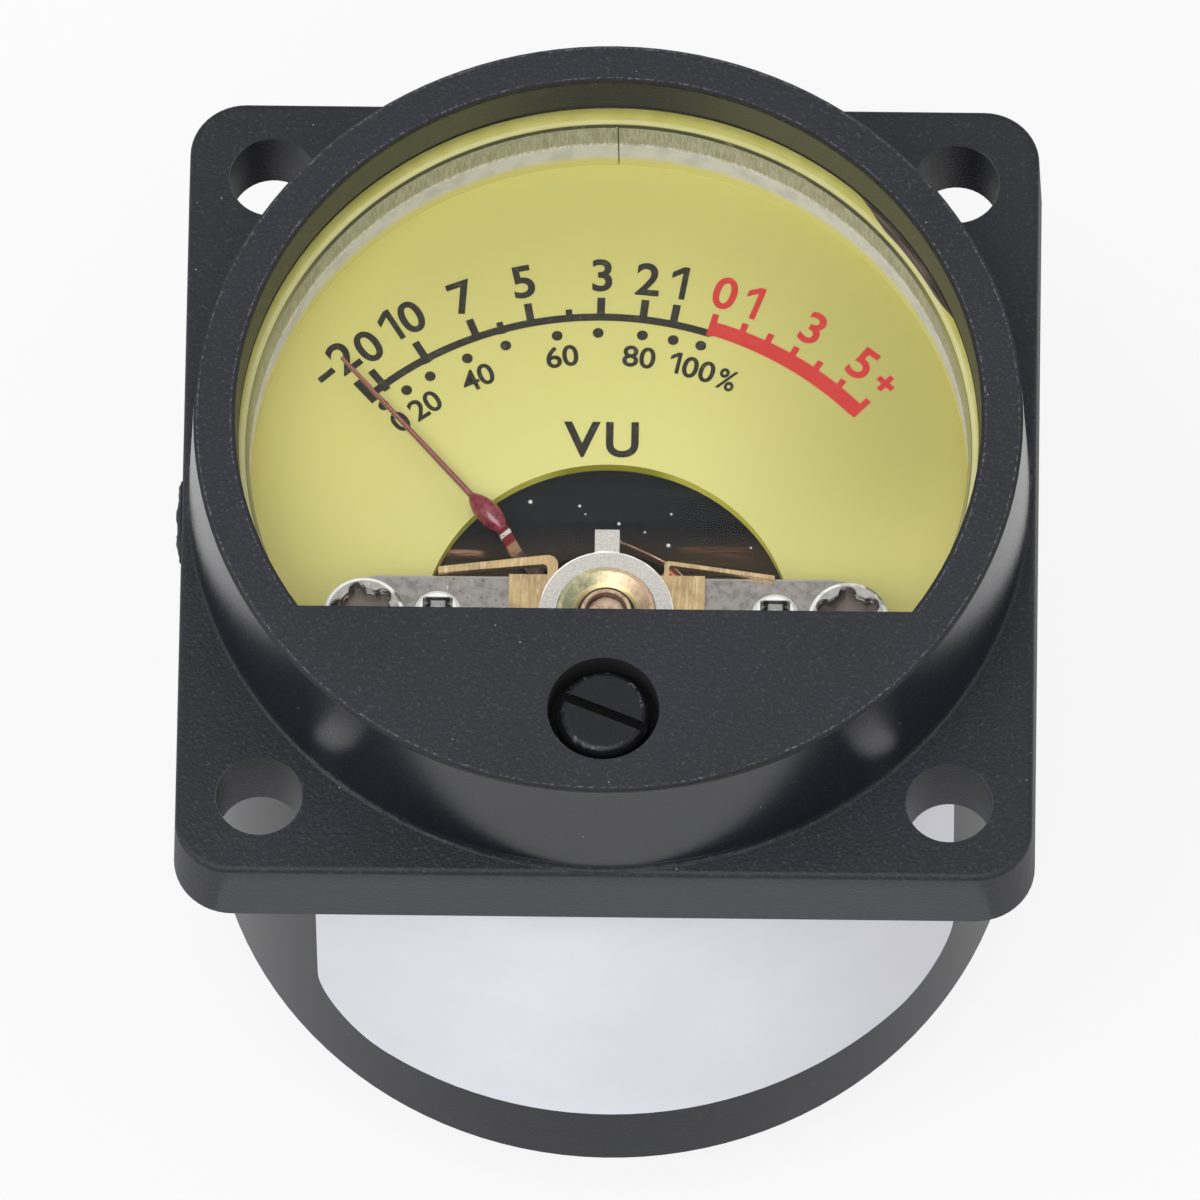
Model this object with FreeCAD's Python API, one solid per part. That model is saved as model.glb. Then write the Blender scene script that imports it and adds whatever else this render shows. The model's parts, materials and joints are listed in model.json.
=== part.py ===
"""Round-window panel meter: square flange, round bezel, moving-coil movement and cup-shaped barrel.

Millimetres. The origin is the centre of the flange's rear face, +Z leaves the face towards the
reader and +Y is the top of the dial. Dial angles are clockwise from +Y.
"""
import FreeCAD, Part
import math
import os

# Case: flange, bezel and barrel
FLANGE_SIDE = 35.0
FLANGE_THICKNESS = 3.8
FLANGE_CORNER_R = 2.4
FLANGE_DRAFT = 0.12         # lost on each side from the rear to the front
FLANGE_EDGE_R = 0.25
HOLE_EDGE = 3.5             # hole centre to the flange's sides
HOLE_R = 1.75
BEZEL_MARGIN = 0.37         # flange side to the foot of the bezel
BEZEL_DRAFT = 0.30          # radius lost from the foot to the face
BEZEL_CHAMFER = 0.13
BEZEL_FOOT_R = 0.15
BEZEL_WALL = 1.58           # foot of the bezel to the bore
LIP_OVERLAP = 0.52          # the lip holds the lens by this much
LIP_DRAFT = 0.12
WINDOW_DEPTH = 2.13         # bezel face to lens
BODY_STEP = 0.46            # the barrel is this much smaller than the bezel, in radius
BODY_DEPTH = 25.4
BODY_WALL = 1.87
BODY_RIM_CHAMFER = 0.2
FLOOR_THICKNESS = 2.0
BODY_SEAT = 0.4             # the barrel's shoulder sits this deep in the flange
SPIGOT_STEP = 0.57          # spigot of the barrel inside the cover
SPIGOT_LENGTH = 1.7
MOULD_CLEARANCE = 0.05      # between mouldings and what drops into them

# Lens, strip and dial
LENS_THICKNESS = 1.0
LENS_HEADROOM = 0.07        # bush to lens
LENS_CHORD_GAP = 0.15
STRIP_INSET = 0.41          # lip to the strip's inner face
STRIP_THICKNESS = 0.12
STRIP_SEAM = 0.12
STRIP_SEAM_X = 0.14
STRIP_TOP_GAP = 0.03
DIAL_THICKNESS = 0.55
CUTOUT_WALL = 1.28          # cut-out of the dial to the holes of the bridge screws
CUTOUT_RISE = 0.69          # centre of the cut-out above the pivot line

# Movement plate, pillars and magnet
YOKE_WALL_GAP = 0.14        # yoke to the barrel's bore
PLATE_THICKNESS = 1.8
PLATE_RIM = 1.9
PLATE_WINDOW_GAP = 0.9      # cut-out of the dial to the light window of the plate
PLATE_WINDOW_RISE = 6.26    # pivot line up to where the light window starts
PILLAR_ANGLE = 64.5         # from the top of the dial
PILLAR_WALL_GAP = 0.72      # pillar to the barrel's bore
PILLAR_R = 2.0
PILLAR_PAD = 1.0
PILLAR_TENON_R = 1.0
GAP_R = 4.5                 # bore of the yoke
YOKE_WALL = 2.9
YOKE_LENGTH = 7.7
CORE_GAP = 1.3              # core to yoke
CORE_RECESS = 0.1           # core top below the plate's face
CORE_LENGTH = 9.8
CARRIER_HALF_SPAN = 28.0
CARRIER_LENGTH = 5.0
CARRIER_DEPTH = 2.4         # core top to carrier top

# Bridge bar and what stands on it
BAR_STANDOFF = 1.05         # dial to bar
BAR_THICKNESS = 0.8
BAR_HALF_WIDTH = 2.23
BAR_END_INSET = 0.75        # centre of the bar's round end inside its screw
BRIDGE_SCREW_WALL = 2.4     # bridge screw to the strip
SPACER_R = 1.6
SCREW_HEAD_R = 1.66
SCREW_HEAD_HEIGHT = 1.1
SCREW_HEAD_EDGE_R = 0.2
SCREW_SHANK_R = 0.9
SCREW_HOLE_GAP = 0.1
SCREW_ENGAGEMENT = 1.5
SOCKET_CORE_R = 1.12        # six-lobed socket: its core, and its lobes round it
SOCKET_LOBE_R = 0.37
SOCKET_LOBE_PLACE = 1.06    # screw's axis to the centre of a lobe
SOCKET_DEPTH = 0.65
SOCKET_TURNS = (-3.0, -15.3)  # dial angles of a lobe of the right and the left screw
RIVET_PITCH = 2.98          # bridge screw to rivet
RIVET_Y = 0.42              # above the pivot line
RIVET_HEAD_R = 0.96
RIVET_SHANK_R = 0.7
RIVET_HEIGHT = 0.55
RIVET_CHAMFER = 0.18
RIVET_SQUARE = 1.22
RIVET_PIN_R = 0.42          # domed pin in the socket
STOP_THICKNESS = 0.25
STOP_HALF_LENGTH = 3.98
WIDE_FINGER = dict(root=2.0, rise=0.88, reach=6.86, width=0.42, tip=0.31, foot=0.03)
THIN_FINGER = dict(root=2.32, rise=0.66, reach=6.8, width=0.2, tip=0.05, foot=-0.12)
BUSH_SHOULDER_R = 2.3
BUSH_HEIGHT = 0.9
BUSH_NECK_EXTRA = 0.1       # the neck's end above the lever
BUSH_DISH = 0.35
BUSH_RIM = 0.17             # flat rim round the dish
LEVER_R = 2.73
LEVER_BORE_R = 2.03
LEVER_THICKNESS = 0.25
LEVER_PLAY = 0.03
TAB_WIDTH = 1.0
TAB_REACH = 3.72
TAIL_WIDTH = 1.9
LEVER_RUNNING_GAP = 0.04
JEWEL_SCREW_R = 1.1
JEWEL_FLARE = 0.05          # bush bore over the jewel screw
JEWEL_SCREW_PROUD = 0.05    # jewel screw above the lever
JEWEL_RECESS_R = 0.79
JEWEL_RECESS_DEPTH = 0.25
JEWEL_CUP_DEPTH = 0.8

# Zero screw and the apron over the movement
APRON_DROP = 1.42           # pivot line down to the apron's edge
ZERO_OFFSET = 5.89          # pivot to the zero screw
ZERO_HEAD_R = 1.86
ZERO_HEAD_GAP = 0.41
ZERO_HEAD_HEIGHT = 1.35
ZERO_HEAD_DEPTH = 0.25
ZERO_HEAD_EDGE_R = 0.36
ZERO_HEAD_PLAY = 0.05
ZERO_STEM_R = 1.35
ZERO_STEM_GAP = 0.05
ZERO_STEM_PROUD = 0.1       # stem below its boss
ZERO_BOSS_WALL = 1.3
ZERO_BOSS_LIFT = 0.4        # boss above the lens's rear face
ZERO_SLOT_WIDTH = 0.4
ZERO_SLOT_DEPTH = 0.5
ZERO_SLOT_ANGLE = -22.4
ZERO_THROW = 0.9            # eccentric pin off the screw's axis
ZERO_PIN_R = 0.4
ZERO_PIN_GAP = 0.08
ZERO_PIN_PROUD = 0.3
FORK_EXTRA = 0.7            # pin to the fork's ends
FORK_DEPTH = 0.45           # pin to the centre of the slot's round end

# Moving coil
REST_ANGLE = -41.1
COIL_GAP = 0.2              # former to core
FORMER_THICKNESS = 0.2
WINDING_THICKNESS = 0.6
COIL_HALF_WIDTH = 0.9
HUB_R = 0.6
HUB_HEIGHT = 0.1            # hub over the winding
PIVOT_R = 0.3
PIVOT_GAP = 0.05
PIVOT_ENTRY = 0.5           # pivot inside its jewel
ARM_LIFT = 0.15             # arm over the plate
ARM_THICKNESS = 0.25
ARM_WIDTH = 0.5
ARM_CRANK_START = 5.7
ARM_CRANK_RUN = 0.9
ARM_END = 7.6
TAIL_REACH = 3.6
WEIGHT_R = 0.4
WEIGHT_LENGTH = 1.1
POINTER_LIFT = 0.75         # pointer's centre over the dial
POINTER_ROOM = 5.17         # upright pointer's tip to the strip
POINTER_THICKNESS = 0.15
POINTER_ROOT_WIDTH = 0.24
POINTER_TIP_WIDTH = 0.13
BULB_START = 6.5
BULB_END = 8.55
BULB_CROWN = 7.45
BULB_R = 0.5
BULB_NECK_R = 0.24
SPRING_INNER_R = 0.9
SPRING_OUTER_R = 3.6
SPRING_HALF_TURNS = 6
SPRING_THICKNESS = 0.12
SPRING_HEIGHT = 0.2
SPRING_LIFT = 0.15          # spring over the winding
SPRING_TAB_GAP = 0.075      # spring to the zero lever's tab

# Lower bridge
LOWER_FOOT_WIDTH = 1.6
LOWER_FOOT_INSET = 0.4      # foot to the yoke's edge
LOWER_CLEARANCE = 1.0       # winding to the bar's upper face
LOWER_BAR_THICKNESS = 0.8
LOWER_BAR_HALF_WIDTH = 2.0
SMALL_SCREW_R = 0.6
SMALL_HEAD_R = 1.05
SMALL_HEAD_HEIGHT = 0.6
SMALL_SCREW_GRIP = 2.0

# Rear: screws, lugs, rectifier and lamp
REAR_SCREW_R = 1.2
REAR_HEAD_R = 2.1
REAR_HEAD_HEIGHT = 1.3
REAR_HEAD_CHAMFER = 0.3
REAR_SLOT_WIDTH = 0.55
REAR_SLOT_DEPTH = 0.6
REAR_SCREW_GRIP = 5.0
LUG_THICKNESS = 0.6
LUG_WIDTH = 2.8
LUG_REACH = 5.0
LUG_HOLE_R = 0.7
LUG_COLLAR_R = 1.9
LUG_COLLAR_HEIGHT = 0.5
LUG_TAIL_WIDTH = 1.6
LUG_TAIL = 0.5              # tail through what is soldered to it
METER_LUG_INSET = 5.3       # lugs to the barrel's bore
LAMP_LUG_INSET = 4.3
LAMP_LUG_PITCH = 9.0
BOARD_STANDOFF = 1.5
BOARD_THICKNESS = 1.0
BOARD_WIDTH = 4.4
BOARD_WALL_GAP = 0.34       # board's corners to the barrel's bore
BOARD_END = 1.5             # lug to the board's end
DIODE_R = 0.75
DIODE_LENGTH = 3.0
DIODE_GAP = 0.34            # diode wires to the board's centre line
DIODE_PITCH = 2.0
DIODE_LEG = 0.44            # straight wire from the glass to the bend
DIODE_LEG_R = 0.22
LEAD_R = 0.4
LEAD_BEND_R = 1.5
LEAD_GAP = 0.4              # lead to the yoke it passes
BRACKET_DROP = 9.7          # plate's rear face to the bracket
BRACKET_THICKNESS = 1.0
BRACKET_MARGIN = 1.1
BRACKET_GAP = 0.2           # bracket to the barrel's wall
LAMP_RISE = 4.0             # pillars to the lamp's centre line
LAMP_R = 2.0
LAMP_HALF_LENGTH = 3.6
LAMP_CAP_R = 1.6
LAMP_CAP_LENGTH = 2.2
LAMP_END_FLAT = 0.05        # flat end of the bulb outside its cap
LAMP_GAP = 0.4              # bulb to bracket
CLIP_THICKNESS = 0.8
CLIP_WALL = 0.7

# Label
LABEL_THICKNESS = 0.1
LABEL_FROM = -46.0          # degrees round from -Y, towards +X
LABEL_TO = 58.1
LABEL_TOP_GAP = 0.4
LABEL_HEIGHT = 20.3
LABEL_CORNER_R = 2.6

# Radii and places that follow from the case
BEZEL_R = FLANGE_SIDE / 2 - BEZEL_MARGIN
BORE_R = BEZEL_R - BEZEL_WALL
LIP_R = BORE_R - LIP_OVERLAP
BODY_R = BEZEL_R - BODY_STEP
BODY_BORE_R = BODY_R - BODY_WALL
SPIGOT_R = BODY_R - SPIGOT_STEP
DROP_IN_R = BORE_R - MOULD_CLEARANCE
STRIP_R = LIP_R - STRIP_INSET
YOKE_R = GAP_R + YOKE_WALL
CORE_R = GAP_R - CORE_GAP
PIVOT_Y = YOKE_R + YOKE_WALL_GAP - BODY_BORE_R
ZERO_Y = PIVOT_Y - ZERO_OFFSET
ZERO_BOSS_R = ZERO_STEM_R + ZERO_BOSS_WALL
PILLAR_SPOT_R = BODY_BORE_R - PILLAR_R - PILLAR_WALL_GAP
PILLAR_X = PILLAR_SPOT_R * math.sin(math.radians(PILLAR_ANGLE))
PILLAR_Y = PILLAR_SPOT_R * math.cos(math.radians(PILLAR_ANGLE))
BRIDGE_SCREW_SPOT_R = STRIP_R - BRIDGE_SCREW_WALL
BRIDGE_SCREW_X = math.sqrt(BRIDGE_SCREW_SPOT_R ** 2 - PIVOT_Y ** 2)
RIVET_X = BRIDGE_SCREW_X - RIVET_PITCH
CUTOUT_R = BRIDGE_SCREW_X - SCREW_SHANK_R - SCREW_HOLE_GAP - CUTOUT_WALL
CUTOUT_Y = PIVOT_Y + CUTOUT_RISE
POINTER_TIP = STRIP_R - POINTER_ROOM - PIVOT_Y
METER_LUG_Y = METER_LUG_INSET - BODY_BORE_R
BOARD_LOW_Y = METER_LUG_Y - BOARD_WIDTH / 2
BOARD_HALF_LENGTH = math.sqrt((BODY_BORE_R - BOARD_WALL_GAP) ** 2 - BOARD_LOW_Y ** 2)
METER_LUG_X = BOARD_HALF_LENGTH - BOARD_END
DIODE_X = DIODE_GAP + DIODE_LEG_R + DIODE_LEG + DIODE_LENGTH / 2
LAMP_LUG_X = LAMP_LUG_PITCH / 2
LAMP_LUG_Y = BODY_BORE_R - LAMP_LUG_INSET
LAMP_Y = PILLAR_Y + LAMP_RISE

# Heights, from the barrel's spigot up to the bezel face
Z_PLATE_REAR = SPIGOT_LENGTH
Z_PLATE = Z_PLATE_REAR + PLATE_THICKNESS
Z_DIAL = Z_PLATE + DIAL_THICKNESS
Z_BAR_LOW = Z_DIAL + BAR_STANDOFF
Z_BAR = Z_BAR_LOW + BAR_THICKNESS
Z_STOP = Z_BAR + STOP_THICKNESS
Z_LEVER_LOW = Z_STOP + BUSH_HEIGHT
Z_LEVER = Z_LEVER_LOW + LEVER_THICKNESS
Z_BUSH = Z_LEVER + BUSH_NECK_EXTRA
Z_LENS_REAR = Z_BUSH + LENS_HEADROOM
Z_LENS = Z_LENS_REAR + LENS_THICKNESS
Z_FACE = Z_LENS + WINDOW_DEPTH
Z_BOSS = Z_LENS_REAR + ZERO_BOSS_LIFT
Z_ZERO_HEAD = Z_FACE - ZERO_HEAD_DEPTH
Z_ZERO_SEAT = Z_ZERO_HEAD - ZERO_HEAD_HEIGHT

# Heights of the coil and of what hangs below the plate
Z_CORE = Z_PLATE - CORE_RECESS
Z_CORE_LOW = Z_CORE - CORE_LENGTH
Z_YOKE_LOW = Z_PLATE_REAR - YOKE_LENGTH
Z_COIL_TOP = Z_CORE + COIL_GAP + FORMER_THICKNESS + WINDING_THICKNESS
Z_COIL_LOW = Z_CORE_LOW - COIL_GAP - FORMER_THICKNESS - WINDING_THICKNESS
Z_SPRING_LOW = Z_COIL_TOP + SPRING_LIFT
Z_TAB_LOW = Z_SPRING_LOW + SPRING_HEIGHT + SPRING_TAB_GAP
Z_ARM_LOW = Z_PLATE + ARM_LIFT
Z_POINTER = Z_DIAL + POINTER_LIFT
Z_LOWER_BAR = Z_COIL_LOW - LOWER_CLEARANCE
Z_LOWER_BAR_LOW = Z_LOWER_BAR - LOWER_BAR_THICKNESS
Z_REAR = -BODY_DEPTH
Z_FLOOR = Z_REAR + FLOOR_THICKNESS
Z_BOARD = Z_FLOOR + BOARD_STANDOFF
Z_BOARD_TOP = Z_BOARD + BOARD_THICKNESS
Z_LUG_TAIL = Z_BOARD_TOP + LUG_TAIL
Z_LEAD_CROSSING = (Z_BOARD_TOP + Z_LOWER_BAR_LOW) / 2
Z_BRACKET = Z_PLATE_REAR - BRACKET_DROP
Z_LAMP = Z_BRACKET + BRACKET_THICKNESS + LAMP_GAP + LAMP_R
OVERCUT = 1.0               # cutting tools run past their faces by this much
PARALLEL = 1e-6             # sine of the angle within which directions agree
X_AXIS = FreeCAD.Vector(1, 0, 0)
Y_AXIS = FreeCAD.Vector(0, 1, 0)
Z_AXIS = FreeCAD.Vector(0, 0, 1)


def vec(x=0.0, y=0.0, z=0.0):
    return FreeCAD.Vector(x, y, z)


def rod(radius, z_low, z_high, x=0.0, y=0.0):
    return Part.makeCylinder(radius, z_high - z_low, vec(x, y, z_low))


def tube(outer_r, inner_r, z_low, z_high, x=0.0, y=0.0):
    hole = rod(inner_r, z_low - OVERCUT, z_high + OVERCUT, x, y)
    return rod(outer_r, z_low, z_high, x, y).cut(hole)


def block(x_low, x_high, y_low, y_high, z_low, z_high):
    return Part.makeBox(x_high - x_low, y_high - y_low, z_high - z_low, vec(x_low, y_low, z_low))


def cross_rod(radius, x_low, x_high, y, z):
    """Cylinder along X."""
    return Part.makeCylinder(radius, x_high - x_low, vec(x_low, y, z), X_AXIS)


def edges_along(shape, axis):
    """Straight edges of a box that run along an axis."""
    return [edge for edge in shape.Edges if edge.tangentAt(0).cross(axis).Length < PARALLEL]


def rounded_top(shape, radius):
    """Rounds the edges of the shape's upper face."""
    top = shape.BoundBox.ZMax
    return shape.makeFillet(radius, [edge for edge in shape.Edges if top - edge.BoundBox.ZMin < radius])


def turned(edges):
    """Solid turned about Z from a closed outline in the XZ plane."""
    return Part.Face(Part.Wire(edges)).revolve(vec(), Z_AXIS, 360)


def line(start, end):
    return Part.LineSegment(start, end).toShape()


def arc(start, middle, end):
    return Part.Arc(start, middle, end).toShape()


def lines(points):
    """Straight edges from each point to the next."""
    return [line(start, end) for start, end in zip(points, points[1:])]


def outline(points):
    """Closed polygon."""
    return Part.Wire(Part.makePolygon(points + points[:1]).Edges)


def turned_points(points):
    """Solid turned about Z from (radius, height) corners."""
    return turned(outline([vec(radius, 0, z) for radius, z in points]).Edges)


def mirrored(shape):
    """The shape and its mirror image across the dial's centre line, as separate solids."""
    return Part.makeCompound([shape, shape.mirror(vec(), X_AXIS)])


def pair_at(shape, x):
    """Two copies of a shape drawn on the centre line, moved to +x and -x."""
    return Part.makeCompound([shape.translated(vec(x)), shape.translated(vec(-x))])


def on_pivot(shape):
    """Moves a shape drawn about the Z axis onto the pivot axis."""
    return shape.translated(vec(0, PIVOT_Y))


def moving(shape):
    """Sets a shape, drawn with the pointer along +Y, on the pivot at the rest angle."""
    shape = shape.copy()
    shape.rotate(vec(), Z_AXIS, -REST_ANGLE)
    return on_pivot(shape)


# ---------------------------------------------------------------- case

def rounded_square(half, corner_r, height):
    """Outline of a square with round corners, at a height."""
    plate = block(-half, half, -half, half, height, height + 1)
    plate = plate.makeFillet(corner_r, edges_along(plate, Z_AXIS))
    return [face for face in plate.Faces if face.BoundBox.ZMax < height + 0.5][0].OuterWire


def flange():
    """Square plate whose sides taper a little towards the front."""
    half = FLANGE_SIDE / 2
    rear = rounded_square(half, FLANGE_CORNER_R, 0)
    front = rounded_square(half - FLANGE_DRAFT, FLANGE_CORNER_R - FLANGE_DRAFT, FLANGE_THICKNESS)
    return rounded_top(Part.makeLoft([rear, front], True, True), FLANGE_EDGE_R)


def bezel():
    """Tapered round boss with a chamfered face and a hollow fillet where it meets the flange."""
    face_r = BEZEL_R - BEZEL_DRAFT
    foot_r = BEZEL_R + BEZEL_FOOT_R
    swing = BEZEL_FOOT_R * (1 - math.sqrt(0.5))
    axis_low = vec()
    foot_end = vec(foot_r, 0, FLANGE_THICKNESS)
    foot_top = vec(BEZEL_R, 0, FLANGE_THICKNESS + BEZEL_FOOT_R)
    path = [foot_top, vec(face_r, 0, Z_FACE - BEZEL_CHAMFER), vec(face_r - BEZEL_CHAMFER, 0, Z_FACE)]
    path += [vec(0, 0, Z_FACE), axis_low, vec(foot_r), foot_end]
    edges = lines(path)
    edges.append(arc(foot_end, vec(BEZEL_R + swing, 0, FLANGE_THICKNESS + swing), foot_top))
    boss = turned(edges)
    half = FLANGE_SIDE / 2
    return boss.common(block(-half, half, -half, half, 0, Z_FACE))


def flange_holes():
    offset = FLANGE_SIDE / 2 - HOLE_EDGE
    spots = [(x, y) for x in (-offset, offset) for y in (-offset, offset)]
    return [rod(HOLE_R, -OVERCUT, Z_FACE, x, y) for x, y in spots]


def window_tool():
    """The tapered opening of the bezel, above the apron's straight edge."""
    face_r = LIP_R + LIP_DRAFT
    slope = LIP_DRAFT / WINDOW_DEPTH
    cone = Part.makeCone(LIP_R, face_r + slope * OVERCUT, WINDOW_DEPTH + OVERCUT, vec(0, 0, Z_LENS))
    edge_y = PIVOT_Y - APRON_DROP
    apron = block(-BEZEL_R, BEZEL_R, -BEZEL_R, edge_y, Z_LENS - OVERCUT, Z_FACE + 2 * OVERCUT)
    return cone.cut(apron)


def front_cover():
    cover = flange().fuse(bezel())
    cover = cover.cut(rod(BORE_R, -OVERCUT, Z_LENS))
    cover = cover.cut(rod(SPIGOT_R + MOULD_CLEARANCE, -OVERCUT, SPIGOT_LENGTH + MOULD_CLEARANCE))
    cover = cover.cut(rod(BODY_R + LABEL_THICKNESS + MOULD_CLEARANCE, -OVERCUT, BODY_SEAT))
    cover = cover.cut(window_tool())
    boss = rod(ZERO_BOSS_R, Z_BOSS, Z_ZERO_SEAT, 0, ZERO_Y)
    cover = cover.fuse(boss.common(rod(BORE_R + OVERCUT, Z_BOSS, Z_FACE)))
    seat = Z_ZERO_SEAT - ZERO_HEAD_PLAY
    cover = cover.cut(rod(ZERO_HEAD_R + ZERO_HEAD_GAP, seat, Z_FACE + OVERCUT, 0, ZERO_Y))
    cover = cover.cut(rod(ZERO_STEM_R + ZERO_STEM_GAP, Z_BOSS - OVERCUT, Z_FACE, 0, ZERO_Y))
    return cover.cut(flange_holes()).removeSplitter()


def lens():
    chord_y = ZERO_Y + ZERO_BOSS_R + LENS_CHORD_GAP
    keep = block(-BORE_R, BORE_R, chord_y, BORE_R, Z_LENS_REAR, Z_LENS)
    return rod(DROP_IN_R, Z_LENS_REAR, Z_LENS).common(keep)


def lens_spacer_ring():
    return tube(DROP_IN_R, STRIP_R + STRIP_THICKNESS, Z_DIAL, Z_LENS_REAR)


def reflector_strip():
    strip = tube(STRIP_R + STRIP_THICKNESS, STRIP_R, Z_DIAL, Z_LENS_REAR - STRIP_TOP_GAP)
    seam_low = STRIP_SEAM_X - STRIP_SEAM / 2
    return strip.cut(block(seam_low, seam_low + STRIP_SEAM, 0, BORE_R, Z_PLATE, Z_LENS))


def dial_plate():
    """Disc with a round-topped cut-out that is open at the bottom."""
    low = Z_PLATE - OVERCUT
    high = Z_DIAL + OVERCUT
    opening = rod(CUTOUT_R, low, high, 0, CUTOUT_Y)
    opening = opening.fuse(block(-CUTOUT_R, CUTOUT_R, -BORE_R, CUTOUT_Y, low, high))
    return rod(DROP_IN_R, Z_PLATE, Z_DIAL).cut(opening).cut(bridge_screw_holes(Z_PLATE, Z_DIAL))


def housing():
    chamfer = BODY_RIM_CHAMFER
    profile = [(0, Z_REAR), (BODY_R - chamfer, Z_REAR), (BODY_R, Z_REAR + chamfer), (BODY_R, BODY_SEAT)]
    profile += [(SPIGOT_R, BODY_SEAT), (SPIGOT_R, SPIGOT_LENGTH), (BODY_BORE_R, SPIGOT_LENGTH)]
    profile += [(BODY_BORE_R, Z_FLOOR), (0, Z_FLOOR)]
    cup = turned_points(profile)
    hole = rod(REAR_SCREW_R + SCREW_HOLE_GAP, Z_REAR - OVERCUT, Z_FLOOR + OVERCUT, PILLAR_X, PILLAR_Y)
    return cup.cut(mirrored(hole)).cut(lug_slots())


def rating_label():
    outer_r = BODY_R + LABEL_THICKNESS
    top = -LABEL_TOP_GAP
    band = tube(outer_r, BODY_R, top - LABEL_HEIGHT, top)
    half_span = math.radians(LABEL_TO - LABEL_FROM) / 2
    width = BODY_R * math.sin(half_span)
    sheet = block(-width, width, -2 * outer_r, 0, top - LABEL_HEIGHT, top)
    corners = [edge for edge in edges_along(sheet, Y_AXIS) if edge.BoundBox.ZMax < top - LABEL_HEIGHT / 2]
    label = band.common(sheet.makeFillet(LABEL_CORNER_R, corners))
    label.rotate(vec(), Z_AXIS, (LABEL_FROM + LABEL_TO) / 2)
    return label


# ---------------------------------------------------------------- plate, pillars and magnet

def bridge_screw_holes(z_low, z_high):
    hole = rod(SCREW_SHANK_R + SCREW_HOLE_GAP, z_low - OVERCUT, z_high + OVERCUT, 0, PIVOT_Y)
    return pair_at(hole, BRIDGE_SCREW_X)


def light_window():
    """Opening of the plate that lets the lamp's light reach the printed part of the dial."""
    z_low = Z_PLATE_REAR - OVERCUT
    z_high = Z_PLATE + OVERCUT
    opening = rod(BORE_R - PLATE_RIM, z_low, z_high)
    opening = opening.cut(rod(CUTOUT_R + PLATE_WINDOW_GAP, z_low, z_high, 0, CUTOUT_Y))
    window_low = PIVOT_Y + PLATE_WINDOW_RISE
    opening = opening.cut(block(-BORE_R, BORE_R, -BORE_R, window_low, z_low, z_high))
    return opening.cut(mirrored(rod(PILLAR_R + PILLAR_PAD, z_low, z_high, PILLAR_X, PILLAR_Y)))


def yoke_screw_x():
    return (GAP_R + YOKE_R) / 2


def countersunk_head():
    """Head of a yoke screw: a cone, flush with the plate."""
    height = SMALL_HEAD_R - SMALL_SCREW_R
    return Part.makeCone(SMALL_SCREW_R, SMALL_HEAD_R, height, vec(0, PIVOT_Y, Z_PLATE - height))


def frame_plate():
    plate = rod(DROP_IN_R, Z_PLATE_REAR, Z_PLATE)
    plate = plate.cut(rod(GAP_R, Z_PLATE_REAR - OVERCUT, Z_PLATE + OVERCUT, 0, PIVOT_Y))
    plate = plate.cut(light_window())
    z_low = Z_PLATE_REAR - OVERCUT
    plate = plate.cut(pair_at(rod(SCREW_SHANK_R, z_low, Z_PLATE + OVERCUT, 0, PIVOT_Y), BRIDGE_SCREW_X))
    plate = plate.cut(mirrored(rod(PILLAR_TENON_R, z_low, Z_PLATE + OVERCUT, PILLAR_X, PILLAR_Y)))
    screw = rod(SMALL_SCREW_R, z_low, Z_PLATE, 0, PIVOT_Y).fuse(countersunk_head())
    return plate.cut(pair_at(screw, yoke_screw_x()))


def frame_pillars():
    """Turned pillars with a riveted tenon in the plate and a tapped foot for the rear screws."""
    pillar = rod(PILLAR_R, Z_FLOOR, Z_PLATE_REAR, PILLAR_X, PILLAR_Y)
    pillar = pillar.fuse(rod(PILLAR_TENON_R, Z_PLATE_REAR, Z_PLATE, PILLAR_X, PILLAR_Y))
    tapped = rod(REAR_SCREW_R, Z_FLOOR - OVERCUT, Z_FLOOR + REAR_SCREW_GRIP, PILLAR_X, PILLAR_Y)
    return mirrored(pillar.cut(tapped))


def pan_head(radius, height):
    """Round-edged screw head on the XY plane, with a six-lobed socket."""
    low = height - SOCKET_DEPTH
    socket = rod(SOCKET_CORE_R, low, height)
    for step in range(6):
        lobe = rod(SOCKET_LOBE_R, low, height, 0, SOCKET_LOBE_PLACE)
        lobe.rotate(vec(), Z_AXIS, 60 * step)
        socket = socket.fuse(lobe)
    return rounded_top(rod(radius, 0, height), SCREW_HEAD_EDGE_R).cut(socket)


def rear_screws():
    head = slotted_head(REAR_HEAD_R, REAR_HEAD_HEIGHT)
    head.rotate(vec(), X_AXIS, 180)
    head = head.translated(vec(PILLAR_X, PILLAR_Y, Z_REAR))
    return mirrored(head.fuse(rod(REAR_SCREW_R, Z_REAR, Z_FLOOR + REAR_SCREW_GRIP, PILLAR_X, PILLAR_Y)))


def yoke_ring():
    ring = on_pivot(tube(YOKE_R, GAP_R, Z_YOKE_LOW, Z_PLATE_REAR))
    upper = rod(SMALL_SCREW_R, Z_PLATE_REAR - SMALL_SCREW_GRIP, Z_PLATE_REAR + OVERCUT, 0, PIVOT_Y)
    lower = rod(SMALL_SCREW_R, Z_YOKE_LOW - OVERCUT, Z_YOKE_LOW + SMALL_SCREW_GRIP, 0, PIVOT_Y)
    ring = ring.cut(pair_at(upper, yoke_screw_x()))
    return ring.cut(pair_at(lower, lower_screw_x()))


def yoke_screws():
    screw = rod(SMALL_SCREW_R, Z_PLATE_REAR - SMALL_SCREW_GRIP, Z_PLATE, 0, PIVOT_Y)
    return pair_at(screw.fuse(countersunk_head()), yoke_screw_x())


def core_magnet():
    return on_pivot(rod(CORE_R, Z_CORE_LOW, Z_CORE))


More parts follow.
